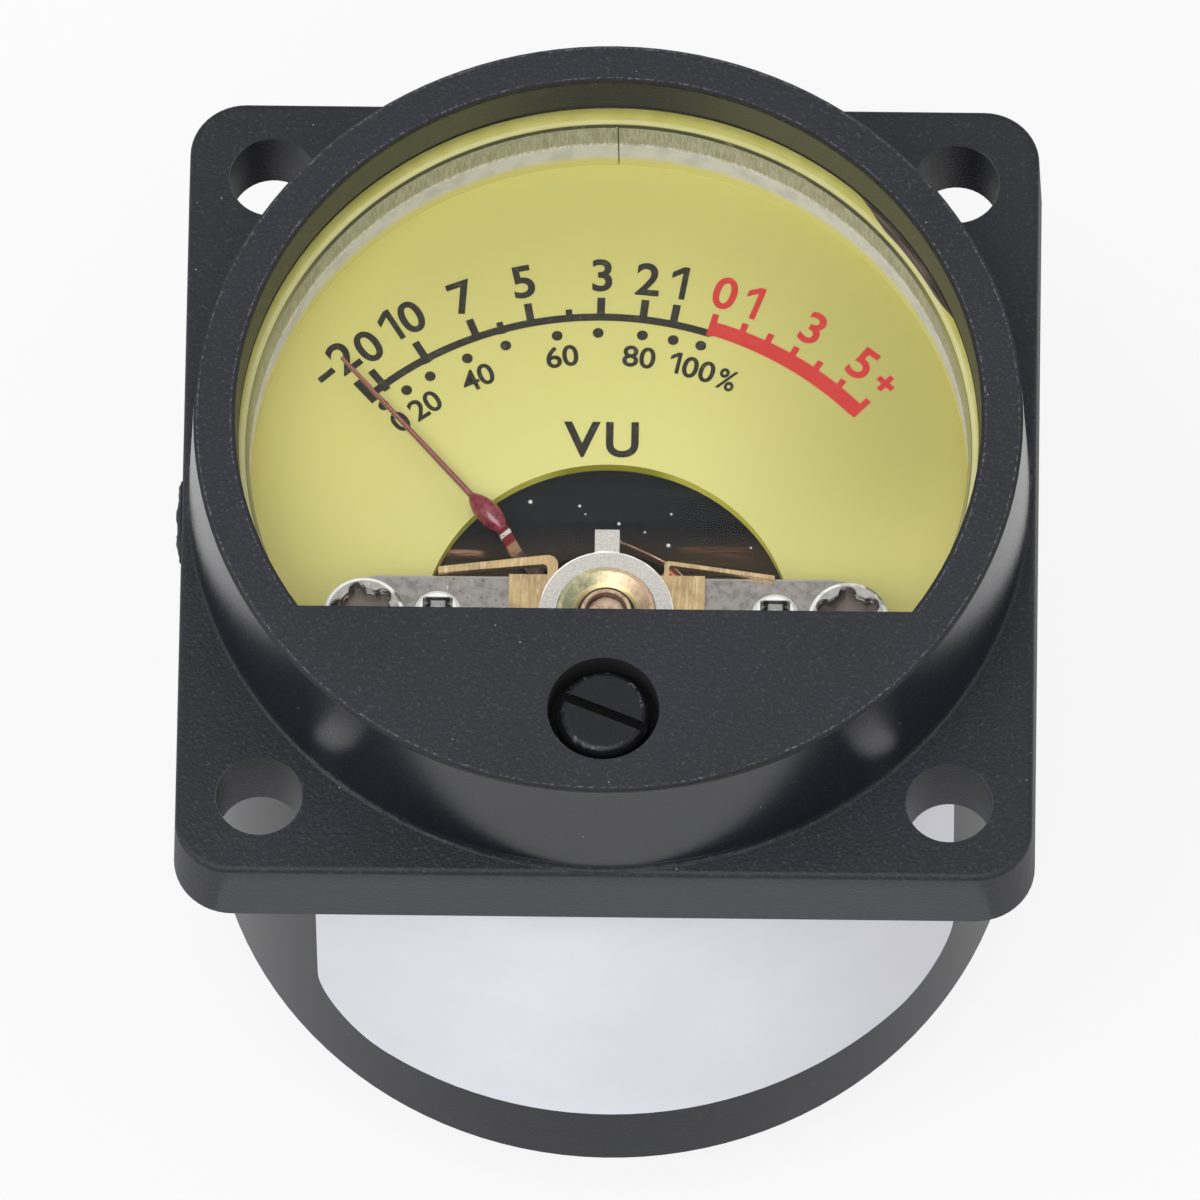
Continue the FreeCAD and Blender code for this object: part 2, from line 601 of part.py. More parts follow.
def core_carriers():
    """Two brass segments that fill the gap where the coil never swings and hold the core."""
    top = Z_CORE - CARRIER_DEPTH
    bottom = top - CARRIER_LENGTH
    corners = [vec(CORE_R, 0, bottom), vec(GAP_R, 0, bottom), vec(GAP_R, 0, top), vec(CORE_R, 0, top)]
    back = Part.Face(outline(corners)).revolve(vec(), Z_AXIS, 2 * CARRIER_HALF_SPAN)
    back.rotate(vec(), Z_AXIS, 90 - CARRIER_HALF_SPAN)
    return on_pivot(Part.makeCompound([back, back.mirror(vec(), Y_AXIS)]))


# ---------------------------------------------------------------- bridge bar and zero lever

def bar_plan(z_low, z_high):
    """Bar with round ends, which the heads of its two screws just cover."""
    reach = BRIDGE_SCREW_X - BAR_END_INSET
    straight = block(-reach, reach, -BAR_HALF_WIDTH, BAR_HALF_WIDTH, z_low, z_high)
    ends = [rod(BAR_HALF_WIDTH, z_low, z_high, x) for x in (-reach, reach)]
    return straight.fuse(ends).removeSplitter()


def bridge_bar():
    bar = on_pivot(bar_plan(Z_BAR_LOW, Z_BAR))
    bar = bar.cut(bridge_screw_holes(Z_BAR_LOW, Z_BAR))
    bar = bar.cut(on_pivot(rod(JEWEL_SCREW_R, Z_BAR_LOW - OVERCUT, Z_BAR + OVERCUT)))
    rivet_hole = rod(RIVET_SHANK_R, Z_BAR_LOW - OVERCUT, Z_BAR + OVERCUT, 0, PIVOT_Y + RIVET_Y)
    return bar.cut(pair_at(rivet_hole, RIVET_X))


def bridge_spacers():
    spacer = tube(SPACER_R, SCREW_SHANK_R + SCREW_HOLE_GAP, Z_DIAL, Z_BAR_LOW)
    return pair_at(on_pivot(spacer), BRIDGE_SCREW_X)


def slotted_head(radius, height):
    """Bevelled screw head on the XY plane, with one slot across it."""
    half = REAR_SLOT_WIDTH / 2
    bevelled = [(radius, height - REAR_HEAD_CHAMFER), (radius - REAR_HEAD_CHAMFER, height)]
    head = turned_points([(0, 0), (radius, 0)] + bevelled + [(0, height)])
    return head.cut(block(-radius, radius, -half, half, height - REAR_SLOT_DEPTH, height))


def bridge_screw(x, turn):
    head = pan_head(SCREW_HEAD_R, SCREW_HEAD_HEIGHT)
    head.rotate(vec(), Z_AXIS, -turn)
    screw = head.translated(vec(0, 0, Z_BAR)).fuse(rod(SCREW_SHANK_R, Z_PLATE - SCREW_ENGAGEMENT, Z_BAR))
    return on_pivot(screw).translated(vec(x))


def bridge_screws():
    spots = zip((BRIDGE_SCREW_X, -BRIDGE_SCREW_X), SOCKET_TURNS)
    return Part.makeCompound([bridge_screw(x, turn) for x, turn in spots])


def bar_rivets():
    """Hollow rivets with a square socket round a domed pin."""
    half = RIVET_SQUARE / 2
    top = Z_BAR + RIVET_HEIGHT
    profile = [(0, Z_BAR_LOW), (RIVET_SHANK_R, Z_BAR_LOW), (RIVET_SHANK_R, Z_BAR), (RIVET_HEAD_R, Z_BAR)]
    profile += [(RIVET_HEAD_R, top - RIVET_CHAMFER), (RIVET_HEAD_R - RIVET_CHAMFER, top), (0, top)]
    rivet = turned_points(profile).cut(block(-half, half, -half, half, Z_BAR, top))
    pin = Part.makeSphere(RIVET_PIN_R, vec(0, 0, Z_BAR)).common(block(-half, half, -half, half, Z_BAR, top))
    return pair_at(rivet.fuse(pin).translated(vec(0, PIVOT_Y + RIVET_Y)), RIVET_X)


def stop_finger(root, rise, reach, width, tip, foot):
    """Sprung finger: up from the plate, round a bend and out along the bar, narrowing to its tip."""
    crown = BAR_HALF_WIDTH + rise
    inner_x = root + width
    inner_top = crown - width
    swing = 1 - math.sqrt(0.5)
    start = vec(root, BAR_HALF_WIDTH - width, Z_BAR)
    side = vec(root, crown - width, Z_BAR)
    top = vec(root + width, crown, Z_BAR)
    bend = width / 2
    slot_top = vec(inner_x + bend, inner_top, Z_BAR)
    slot_side = vec(inner_x, inner_top - bend, Z_BAR)
    outer_middle = vec(root + width * swing, crown - width * swing, Z_BAR)
    inner_middle = vec(inner_x + bend * swing, inner_top - bend * swing, Z_BAR)
    tip_top = vec(reach, BAR_HALF_WIDTH + tip, Z_BAR)
    tip_foot = vec(reach, BAR_HALF_WIDTH + foot, Z_BAR)
    edges = [line(start, side), arc(side, outer_middle, top), arc(slot_top, inner_middle, slot_side)]
    edges += lines([top, tip_top, tip_foot, slot_top])
    edges += lines([slot_side, vec(inner_x, start.y, Z_BAR), start])
    return Part.Face(Part.Wire(Part.__sortEdges__(edges))).extrude(vec(0, 0, STOP_THICKNESS))


def stop_plate():
    """Plate over the bar's middle with a wide finger on the left and a thin one on the right."""
    half = STOP_HALF_LENGTH
    plate = block(-half, half, -BAR_HALF_WIDTH, BAR_HALF_WIDTH, Z_BAR, Z_STOP)
    left = stop_finger(**WIDE_FINGER).mirror(vec(), X_AXIS)
    plate = plate.fuse([stop_finger(**THIN_FINGER), left]).removeSplitter()
    return on_pivot(plate.cut(rod(JEWEL_SCREW_R, Z_BAR - OVERCUT, Z_STOP + OVERCUT)))


def lever_bush():
    """Shouldered bush with a dished face: the zero lever turns on its neck."""
    neck_r = LEVER_BORE_R - LEVER_RUNNING_GAP
    shoulder = Z_LEVER_LOW - LEVER_PLAY
    bore_r = JEWEL_SCREW_R + JEWEL_FLARE
    profile = [(bore_r, Z_STOP), (BUSH_SHOULDER_R, Z_STOP), (BUSH_SHOULDER_R, shoulder), (neck_r, shoulder)]
    profile += [(neck_r, Z_BUSH), (neck_r - BUSH_RIM, Z_BUSH), (bore_r, Z_BUSH - BUSH_DISH)]
    return on_pivot(turned_points(profile))


def jewel_screw(z_open, z_head):
    """Screw with the pivot's cup at z_open and a round recess in its outer end."""
    upward = 1 if z_head > z_open else -1
    low, high = sorted((z_open, z_head))
    body = rod(JEWEL_SCREW_R, low, high)
    cup = sorted((z_open - upward * OVERCUT, z_open + upward * JEWEL_CUP_DEPTH))
    recess = sorted((z_head - upward * JEWEL_RECESS_DEPTH, z_head + upward * OVERCUT))
    body = body.cut(rod(PIVOT_R + PIVOT_GAP, cup[0], cup[1]))
    return on_pivot(body.cut(rod(JEWEL_RECESS_R, recess[0], recess[1])))


def top_jewel_screw():
    return jewel_screw(Z_BAR_LOW, Z_LEVER + JEWEL_SCREW_PROUD)


def zero_lever():
    """Ring on the bush, a tab bent down to the hairspring and a fork for the eccentric pin."""
    half_tab = TAB_WIDTH / 2
    half_tail = TAIL_WIDTH / 2
    half_slot = ZERO_PIN_R + ZERO_PIN_GAP
    pin_y = ZERO_THROW - ZERO_OFFSET
    slot_top = pin_y + FORK_DEPTH
    fork_end = pin_y - ZERO_PIN_R - FORK_EXTRA
    lever = rod(LEVER_R, Z_LEVER_LOW, Z_LEVER)
    lever = lever.fuse(block(-half_tab, half_tab, 0, TAB_REACH, Z_LEVER_LOW, Z_LEVER))
    bend_y = TAB_REACH - LEVER_THICKNESS
    lever = lever.fuse(block(-half_tab, half_tab, bend_y, TAB_REACH, Z_TAB_LOW, Z_LEVER))
    lever = lever.fuse(block(-half_tail, half_tail, fork_end, 0, Z_LEVER_LOW, Z_LEVER))
    slot = block(-half_slot, half_slot, fork_end, slot_top, Z_LEVER_LOW, Z_LEVER)
    slot = slot.fuse(rod(half_slot, Z_LEVER_LOW, Z_LEVER, 0, slot_top))
    lever = lever.cut(slot).cut(rod(LEVER_BORE_R, Z_LEVER_LOW, Z_LEVER))
    return on_pivot(lever.removeSplitter())


def zero_screw():
    head = rounded_top(rod(ZERO_HEAD_R, Z_ZERO_SEAT, Z_ZERO_HEAD), ZERO_HEAD_EDGE_R)
    half = ZERO_SLOT_WIDTH / 2
    slot = block(-ZERO_HEAD_R, ZERO_HEAD_R, -half, half, Z_ZERO_HEAD - ZERO_SLOT_DEPTH, Z_FACE)
    slot.rotate(vec(), Z_AXIS, ZERO_SLOT_ANGLE)
    stem_low = Z_BOSS - ZERO_STEM_PROUD
    screw = head.cut(slot).fuse(rod(ZERO_STEM_R, stem_low, Z_ZERO_SEAT))
    screw = screw.fuse(rod(ZERO_PIN_R, Z_LEVER_LOW - ZERO_PIN_PROUD, stem_low, 0, ZERO_THROW))
    return screw.translated(vec(0, ZERO_Y))


# ---------------------------------------------------------------- moving coil

def coil_loop(inner, thickness):
    """Rectangular loop round the core; inner is the clear distance to the core."""
    half = CORE_R + inner
    low = Z_CORE_LOW - inner
    high = Z_CORE + inner
    outer = block(-half - thickness, half + thickness, -COIL_HALF_WIDTH, COIL_HALF_WIDTH,
                  low - thickness, high + thickness)
    return outer.cut(block(-half, half, -COIL_HALF_WIDTH, COIL_HALF_WIDTH, low, high))


def hub(z_low, z_high):
    return rod(HUB_R, z_low, z_high)


def coil_former():
    """Bent strip with a hub on its upper and lower side for the pivots."""
    former = coil_loop(COIL_GAP, FORMER_THICKNESS)
    top = hub(Z_CORE + COIL_GAP, Z_COIL_TOP + HUB_HEIGHT)
    bottom = hub(Z_COIL_LOW - HUB_HEIGHT, Z_CORE_LOW - COIL_GAP)
    return moving(former.fuse([top, bottom]).removeSplitter())


def coil_winding():
    winding = coil_loop(COIL_GAP + FORMER_THICKNESS, WINDING_THICKNESS)
    return moving(winding.cut(hub(Z_COIL_LOW - OVERCUT, Z_COIL_TOP + OVERCUT)))


def pivot_staff(z_hub, z_tip):
    """Pivot with the collet of its hairspring."""
    upward = 1 if z_tip > z_hub else -1
    low, high = sorted((z_hub, z_tip))
    collet = sorted((z_hub, z_hub + upward * (SPRING_LIFT - HUB_HEIGHT + SPRING_HEIGHT)))
    collet_r = SPRING_INNER_R - SPRING_THICKNESS / 2
    return moving(rod(PIVOT_R, low, high).fuse(rod(collet_r, collet[0], collet[1])))


def top_pivot():
    return pivot_staff(Z_COIL_TOP + HUB_HEIGHT, Z_BAR_LOW + PIVOT_ENTRY)


def bottom_pivot():
    return pivot_staff(Z_COIL_LOW - HUB_HEIGHT, Z_LOWER_BAR - PIVOT_ENTRY)


def spiral_edges(offset, z):
    """Half circles about two centres in turn, which make an even spiral."""
    step = (SPRING_OUTER_R - SPRING_INNER_R) / SPRING_HALF_TURNS
    edges = []
    for turn in range(SPRING_HALF_TURNS):
        radius = SPRING_INNER_R + turn * step + offset
        upper = turn % 2 == 0
        centre = 0.0 if upper else step
        side = 1 if upper else -1
        start = vec(centre + side * radius, 0, z)
        middle = vec(centre, side * radius, z)
        edges.append(arc(start, middle, vec(centre - side * radius, 0, z)))
    return edges


def hairspring(z, end_angle):
    """Flat spiral strip whose outer end stands at a dial angle."""
    inner = spiral_edges(-SPRING_THICKNESS / 2, z)
    outer = spiral_edges(SPRING_THICKNESS / 2, z)
    caps = [line(inner[index].Vertexes[vertex].Point, outer[index].Vertexes[vertex].Point)
            for index, vertex in ((0, 0), (-1, -1))]
    ribbon = Part.Face(Part.Wire(Part.__sortEdges__(inner + outer + caps)))
    spring = ribbon.extrude(vec(0, 0, SPRING_HEIGHT))
    spring.rotate(vec(), Z_AXIS, 90 - end_angle)
    return on_pivot(spring)


def top_hairspring():
    return hairspring(Z_SPRING_LOW, 0.0)


def bottom_hairspring():
    return hairspring(Z_COIL_LOW - SPRING_LIFT - SPRING_HEIGHT, 90.0)


def arm_strip():
    """Cranked strip from the pivot's axis to the pointer's bulb."""
    high = Z_POINTER - ARM_THICKNESS / 2
    crank_end = ARM_CRANK_START + ARM_CRANK_RUN
    lower = [vec(0, 0, Z_ARM_LOW), vec(0, ARM_CRANK_START, Z_ARM_LOW), vec(0, crank_end, high)]
    lower.append(vec(0, ARM_END, high))
    upper = [point + vec(0, 0, ARM_THICKNESS) for point in reversed(lower)]
    side = Part.Face(outline(lower + upper))
    return side.extrude(vec(ARM_WIDTH)).translated(vec(-ARM_WIDTH / 2))


def tail_strip():
    half = ARM_WIDTH / 2
    return block(-half, half, -TAIL_REACH, 0, Z_ARM_LOW, Z_ARM_LOW + ARM_THICKNESS)


def pointer_arm():
    """Strip from the coil's side to the pointer, and a short tail that carries the balance weight."""
    coil = block(-ARM_WIDTH, ARM_WIDTH, -COIL_HALF_WIDTH, COIL_HALF_WIDTH, Z_PLATE, Z_BAR)
    return moving(arm_strip().fuse(tail_strip()).cut(coil))


def balance_weight():
    """Slug pushed along the tail."""
    start = vec(0, ARM_WIDTH / 2 - TAIL_REACH, Z_ARM_LOW + WEIGHT_R)
    weight = Part.makeCylinder(WEIGHT_R, WEIGHT_LENGTH, start, Y_AXIS)
    return moving(weight.cut(tail_strip()))


def pointer():
    """Flat tapering needle with a bulb of lacquer where it meets the arm."""
    root = POINTER_ROOT_WIDTH / 2
    tip = POINTER_TIP_WIDTH / 2
    low = Z_POINTER - POINTER_THICKNESS / 2
    plan = [vec(-root, BULB_CROWN, low), vec(root, BULB_CROWN, low)]
    plan += [vec(tip, POINTER_TIP, low), vec(-tip, POINTER_TIP, low)]
    needle = Part.Face(outline(plan)).extrude(vec(0, 0, POINTER_THICKNESS))
    start = vec(0, BULB_START, Z_POINTER + BULB_NECK_R)
    end = vec(0, BULB_END, Z_POINTER + root)
    edges = lines([end, vec(0, BULB_END, Z_POINTER), vec(0, BULB_START, Z_POINTER), start])
    edges.append(arc(start, vec(0, BULB_CROWN, Z_POINTER + BULB_R), end))
    bulb = Part.Face(Part.Wire(edges)).revolve(vec(0, 0, Z_POINTER), Y_AXIS, 360)
    return moving(needle.fuse(bulb).cut(arm_strip()))


# ---------------------------------------------------------------- lower bridge

def lower_foot_end():
    return YOKE_R - LOWER_FOOT_INSET


def lower_screw_x():
    return lower_foot_end() - LOWER_FOOT_WIDTH / 2


def lower_bridge():
    """Strap under the coil with two feet on the yoke."""
    end = lower_foot_end()
    half = LOWER_BAR_HALF_WIDTH
    strap = block(-end, end, -half, half, Z_LOWER_BAR_LOW, Z_YOKE_LOW)
    inside = end - LOWER_FOOT_WIDTH
    strap = strap.cut(block(-inside, inside, -half, half, Z_LOWER_BAR, Z_YOKE_LOW))
    strap = strap.common(rod(YOKE_R, Z_LOWER_BAR_LOW, Z_YOKE_LOW))
    strap = strap.cut(rod(JEWEL_SCREW_R, Z_LOWER_BAR_LOW - OVERCUT, Z_LOWER_BAR + OVERCUT))
    hole = rod(SMALL_SCREW_R, Z_LOWER_BAR_LOW - OVERCUT, Z_YOKE_LOW + OVERCUT)
    return on_pivot(strap.cut(pair_at(hole, lower_screw_x())))


def lower_bridge_screws():
    head = rod(SMALL_HEAD_R, Z_LOWER_BAR_LOW - SMALL_HEAD_HEIGHT, Z_LOWER_BAR_LOW)
    screw = head.fuse(rod(SMALL_SCREW_R, Z_LOWER_BAR_LOW, Z_YOKE_LOW + SMALL_SCREW_GRIP))
    return pair_at(on_pivot(screw), lower_screw_x())


def lower_jewel_screw():
    return jewel_screw(Z_LOWER_BAR, Z_LOWER_BAR_LOW - JEWEL_CUP_DEPTH)


# ---------------------------------------------------------------- lugs, rectifier and lamp

def lug_pair(piece, spot_x, spot_y):
    """The piece made at both lugs of a pair."""
    return [piece(x, spot_y) for x in (-spot_x, spot_x)]


def lug_slot(x, y):
    half_width = LUG_WIDTH / 2
    half = LUG_THICKNESS / 2
    return block(x - half_width, x + half_width, y - half, y + half, Z_REAR, Z_FLOOR)


def lug_slots():
    return lug_pair(lug_slot, METER_LUG_X, METER_LUG_Y) + lug_pair(lug_slot, LAMP_LUG_X, LAMP_LUG_Y)


def lug_tail(x, y):
    half_width = LUG_TAIL_WIDTH / 2
    half = LUG_THICKNESS / 2
    return block(x - half_width, x + half_width, y - half, y + half, Z_BOARD, Z_LUG_TAIL)


def lug(x, y):
    """Flat solder lug with a collar outside the floor and a narrow tail inside."""
    half_width = LUG_WIDTH / 2
    half = LUG_THICKNESS / 2
    low = Z_REAR - LUG_REACH
    blade = block(x - half_width, x + half_width, y - half, y + half, low, Z_BOARD)
    collar = rod(LUG_COLLAR_R, Z_REAR - LUG_COLLAR_HEIGHT, Z_REAR, x, y)
    eye = Part.makeCylinder(LUG_HOLE_R, LUG_THICKNESS, vec(x, y - half, low + half_width), Y_AXIS)
    return blade.fuse([lug_tail(x, y), collar]).cut(eye)


def meter_lugs():
    return Part.makeCompound(lug_pair(lug, METER_LUG_X, METER_LUG_Y))


def lamp_lugs():
    return Part.makeCompound(lug_pair(lug, LAMP_LUG_X, LAMP_LUG_Y))


def rectifier_board():
    half = BOARD_HALF_LENGTH
    board = block(-half, half, BOARD_LOW_Y, BOARD_LOW_Y + BOARD_WIDTH, Z_BOARD, Z_BOARD_TOP)
    return board.cut(lug_pair(lug_tail, METER_LUG_X, METER_LUG_Y))


def diode(x, y):
    """Glass diode lying on the board, its square legs bent down to it."""
    z = Z_BOARD_TOP + DIODE_R
    half_length = DIODE_LENGTH / 2
    leg = half_length + DIODE_LEG
    body = cross_rod(DIODE_R, x - half_length, x + half_length, y, z)
    low, high = y - DIODE_LEG_R, y + DIODE_LEG_R
    wire = block(x - leg, x + leg, low, high, z - DIODE_LEG_R, z + DIODE_LEG_R)
    legs = [block(end - DIODE_LEG_R, end + DIODE_LEG_R, low, high, Z_BOARD_TOP, z + DIODE_LEG_R)
            for end in (x - leg, x + leg)]
    return body.fuse([wire] + legs).removeSplitter()


def rectifier_diodes():
    half_pitch = DIODE_PITCH / 2
    rows = (METER_LUG_Y - half_pitch, METER_LUG_Y + half_pitch)
    return Part.makeCompound([diode(x, y) for x in (-DIODE_X, DIODE_X) for y in rows])


def lead(points):
    """Round wire through the given points, with an even bend at each corner."""
    edges = []
    here = points[0]
    for before, corner, after in zip(points, points[1:], points[2:]):
        back = (before - corner).normalize()
        ahead = (after - corner).normalize()
        half_angle = back.getAngle(ahead) / 2
        reach = LEAD_BEND_R / math.tan(half_angle)
        start = corner + back * reach
        end = corner + ahead * reach
        middle_line = (back + ahead).normalize()
        middle = corner + middle_line * (LEAD_BEND_R / math.sin(half_angle) - LEAD_BEND_R)
        edges += [line(here, start), arc(start, middle, end)]
        here = end
    edges.append(line(here, points[-1]))
    path = Part.Wire(edges)
    direction = points[1] - points[0]
    section = Part.Wire(Part.makeCircle(LEAD_R, points[0], direction))
    return path.makePipeShell([section], True, True)


def rising_lead(start, end):
    """Wire that leaves start upwards, crosses over below the lower bridge and ends upwards."""
    leave = vec(start.x, start.y, Z_LEAD_CROSSING - LEAD_BEND_R)
    arrive = vec(end.x, end.y, Z_LEAD_CROSSING + LEAD_BEND_R)
    return lead([start, leave, arrive, end])


def coil_leads():
    """From the board to the lower bridge, and from the board to the plate past the yoke."""
    board_x = METER_LUG_X - LUG_TAIL_WIDTH
    bridge_x = lower_foot_end() - LOWER_FOOT_WIDTH - LEAD_R
    bridge_y = PIVOT_Y - LOWER_BAR_HALF_WIDTH + LEAD_R
    plate_x = YOKE_R + LEAD_R + LEAD_GAP
    near = rising_lead(vec(board_x, METER_LUG_Y, Z_BOARD_TOP), vec(bridge_x, bridge_y, Z_LOWER_BAR_LOW))
    far = rising_lead(vec(-board_x, METER_LUG_Y, Z_BOARD_TOP), vec(-plate_x, PIVOT_Y, Z_PLATE_REAR))
    return Part.makeCompound([near, far])


def lamp_bulb():
    """Tubular bulb with tapered ends."""
    glass = cross_rod(LAMP_R, -LAMP_HALF_LENGTH, LAMP_HALF_LENGTH, LAMP_Y, Z_LAMP)
    return glass.makeChamfer(LAMP_R - LAMP_CAP_R - LAMP_END_FLAT, glass.Edges)


def lamp_caps():
    end = LAMP_HALF_LENGTH + LAMP_CAP_LENGTH
    return mirrored(cross_rod(LAMP_CAP_R, LAMP_HALF_LENGTH, end, LAMP_Y, Z_LAMP))


def lamp_bracket():
    """Strip across the two pillars with an upright clip for each cap of the lamp."""
    reach = PILLAR_R + BRACKET_MARGIN
    low_y = PILLAR_Y - reach
    high_y = LAMP_Y + CLIP_WALL + LAMP_CAP_R
    top = Z_BRACKET + BRACKET_THICKNESS
    strip = block(-PILLAR_X, PILLAR_X, low_y, PILLAR_Y + reach, Z_BRACKET, top)
    strip = strip.fuse([rod(reach, Z_BRACKET, top, x, PILLAR_Y) for x in (-PILLAR_X, PILLAR_X)])
    strip = strip.common(rod(BODY_BORE_R - BRACKET_GAP, Z_BRACKET, top))
    clip_x = LAMP_HALF_LENGTH + (LAMP_CAP_LENGTH - CLIP_THICKNESS) / 2
    half_clip = LAMP_CAP_R + CLIP_WALL
    wide = clip_x + CLIP_THICKNESS
    strip = strip.fuse(block(-wide, wide, PILLAR_Y, high_y, Z_BRACKET, top))
    clip_y = LAMP_Y - half_clip
    clip = block(clip_x, wide, clip_y, LAMP_Y + half_clip, Z_BRACKET, Z_LAMP + half_clip)
    strip = strip.fuse(mirrored(clip))
    strip = strip.cut(cross_rod(LAMP_CAP_R, -PILLAR_X, PILLAR_X, LAMP_Y, Z_LAMP))
    strip = strip.cut(mirrored(rod(PILLAR_R, Z_BRACKET - OVERCUT, top + OVERCUT, PILLAR_X, PILLAR_Y)))
    return strip.removeSplitter()


def lamp_leads():
    """From the end of each cap down to the tail of its lug."""
    end_x = LAMP_HALF_LENGTH + LAMP_CAP_LENGTH
    out_x = end_x + LEAD_BEND_R + LEAD_R
    points = [vec(end_x, LAMP_Y, Z_LAMP), vec(out_x, LAMP_Y, Z_LAMP)]
    points.append(vec(out_x, LAMP_Y, Z_LEAD_CROSSING + LEAD_BEND_R))
    points.append(vec(LAMP_LUG_X, LAMP_LUG_Y, Z_LEAD_CROSSING - LEAD_BEND_R))
    points.append(vec(LAMP_LUG_X, LAMP_LUG_Y, Z_LUG_TAIL))
    return mirrored(lead(points))


PIECES = [
    front_cover, lens, lens_spacer_ring, reflector_strip, dial_plate, housing, rating_label,
    frame_plate, frame_pillars, rear_screws, yoke_ring, yoke_screws, core_magnet, core_carriers,
    bridge_bar, bridge_spacers, bridge_screws, bar_rivets, stop_plate, lever_bush, top_jewel_screw,
    zero_lever, zero_screw,
    coil_former, coil_winding, top_pivot, bottom_pivot, top_hairspring, bottom_hairspring,
    pointer_arm, balance_weight, pointer,
    lower_bridge, lower_bridge_screws, lower_jewel_screw,
    meter_lugs, lamp_lugs, rectifier_board, rectifier_diodes, coil_leads,
    lamp_bulb, lamp_caps, lamp_bracket, lamp_leads,
]

os.makedirs("parts", exist_ok=True)
for piece in PIECES:
    piece().exportStep("parts/" + piece.__name__ + ".step")
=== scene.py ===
"""Dresses the round-window panel meter: print, springs, finishes, light and camera.

Metres, in the part's own frame: the origin is the centre of the flange's rear face, +Z leaves the
face towards the reader and +Y is the top of the dial. Dial angles are clockwise from +Y.
"""

import json
import math

import bmesh
import bpy
from mathutils import Matrix, Vector


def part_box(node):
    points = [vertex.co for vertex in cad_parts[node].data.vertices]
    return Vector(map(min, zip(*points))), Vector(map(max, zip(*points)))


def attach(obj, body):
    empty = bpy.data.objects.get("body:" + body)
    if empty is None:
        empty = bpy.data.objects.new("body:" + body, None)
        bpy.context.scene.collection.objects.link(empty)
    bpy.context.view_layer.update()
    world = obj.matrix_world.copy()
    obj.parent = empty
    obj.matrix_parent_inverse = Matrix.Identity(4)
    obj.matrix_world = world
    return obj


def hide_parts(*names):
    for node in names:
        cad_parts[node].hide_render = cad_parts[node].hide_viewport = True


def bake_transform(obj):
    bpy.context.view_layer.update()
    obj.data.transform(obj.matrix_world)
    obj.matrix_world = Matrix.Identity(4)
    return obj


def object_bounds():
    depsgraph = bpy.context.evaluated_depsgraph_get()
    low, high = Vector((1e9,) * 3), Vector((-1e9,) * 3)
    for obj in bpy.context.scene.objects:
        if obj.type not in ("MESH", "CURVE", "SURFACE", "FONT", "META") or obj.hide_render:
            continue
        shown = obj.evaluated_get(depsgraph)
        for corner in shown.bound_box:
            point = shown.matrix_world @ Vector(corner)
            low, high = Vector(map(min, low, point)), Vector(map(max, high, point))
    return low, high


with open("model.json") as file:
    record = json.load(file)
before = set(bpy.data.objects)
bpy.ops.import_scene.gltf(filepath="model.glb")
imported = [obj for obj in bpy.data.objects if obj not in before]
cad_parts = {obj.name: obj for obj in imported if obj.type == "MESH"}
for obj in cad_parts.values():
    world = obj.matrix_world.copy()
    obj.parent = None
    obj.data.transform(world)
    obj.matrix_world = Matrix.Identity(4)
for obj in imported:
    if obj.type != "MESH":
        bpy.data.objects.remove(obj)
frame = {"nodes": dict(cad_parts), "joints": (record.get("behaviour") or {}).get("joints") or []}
CAD_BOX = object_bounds()
NODES = frame["nodes"]
MM = 0.001


def ends_of(node):
    """Highest X, Y and Z of a node, in mm."""
    return [round(end / MM, 3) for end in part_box(node)[1]]


# Distances, radii and levels in mm
JOINT_Y = {joint["name"]: joint["pos_m"][1] / MM for joint in frame["joints"]}
PIVOT_Y = JOINT_Y["pointer_swing"]
ZERO_Y = JOINT_Y["zero_screw_turn"]
FLANGE_HALF, _, FRONT_Z = ends_of("front_cover")
HOLE_X = 14.0
HOLE_R = 1.75
BEZEL_R = 16.76
WINDOW_R = 15.24
APRON_Y = -8.68
RECESS_R = 2.30
SCREW_R, _, SCREW_TOP = ends_of("zero_screw")
WINDOW_TOP = ends_of("lens")[2]
RING_TOP = ends_of("lens_spacer_ring")[2]
STRIP_R, _, STRIP_TOP = ends_of("reflector_strip")
DIAL_TOP = ends_of("dial_plate")[2]
PLATE_TOP = ends_of("frame_plate")[2]
LEVER_R = ends_of("zero_lever")[0]
BRIDGE_SCREW_X = 9.83
RIVET_X = 6.85
RIVET_Y = PIVOT_Y + 0.42
BENCH_Z = round(CAD_BOX[0][2] / MM, 3)

# Dial angle of the pointer at rest
REST_ANGLE = -41.1

WHITE = (1, 1, 1, 1)


# ---------------------------------------------------------------- finishes

class Level:
    """A number, colour or vector inside a finish; sums on it add maths nodes."""

    def __init__(self, finish, socket):
        self.finish = finish
        self.socket = socket

    def sum(self, operation, first, second):
        return self.finish.node("ShaderNodeMath", {"operation": operation}, {0: first, 1: second})

    def __add__(self, other):
        return self.sum("ADD", self, other)

    def __radd__(self, other):
        return self.sum("ADD", other, self)

    def __sub__(self, other):
        return self.sum("SUBTRACT", self, other)

    def __rsub__(self, other):
        return self.sum("SUBTRACT", other, self)

    def __mul__(self, other):
        return self.sum("MULTIPLY", self, other)

    def __rmul__(self, other):
        return self.sum("MULTIPLY", other, self)

    def __truediv__(self, other):
        return self.sum("DIVIDE", self, other)

    def __gt__(self, limit):
        return self.sum("GREATER_THAN", self, limit)

    def __lt__(self, limit):
        return self.sum("LESS_THAN", self, limit)


def plain(colour):
    """A colour as a socket takes it."""
    return colour if isinstance(colour, Level) else (*colour, 1.0)


# A Mix node's sockets for colours
MIX_FIRST = 6
MIX_SECOND = 7
MIX_RESULT = 2


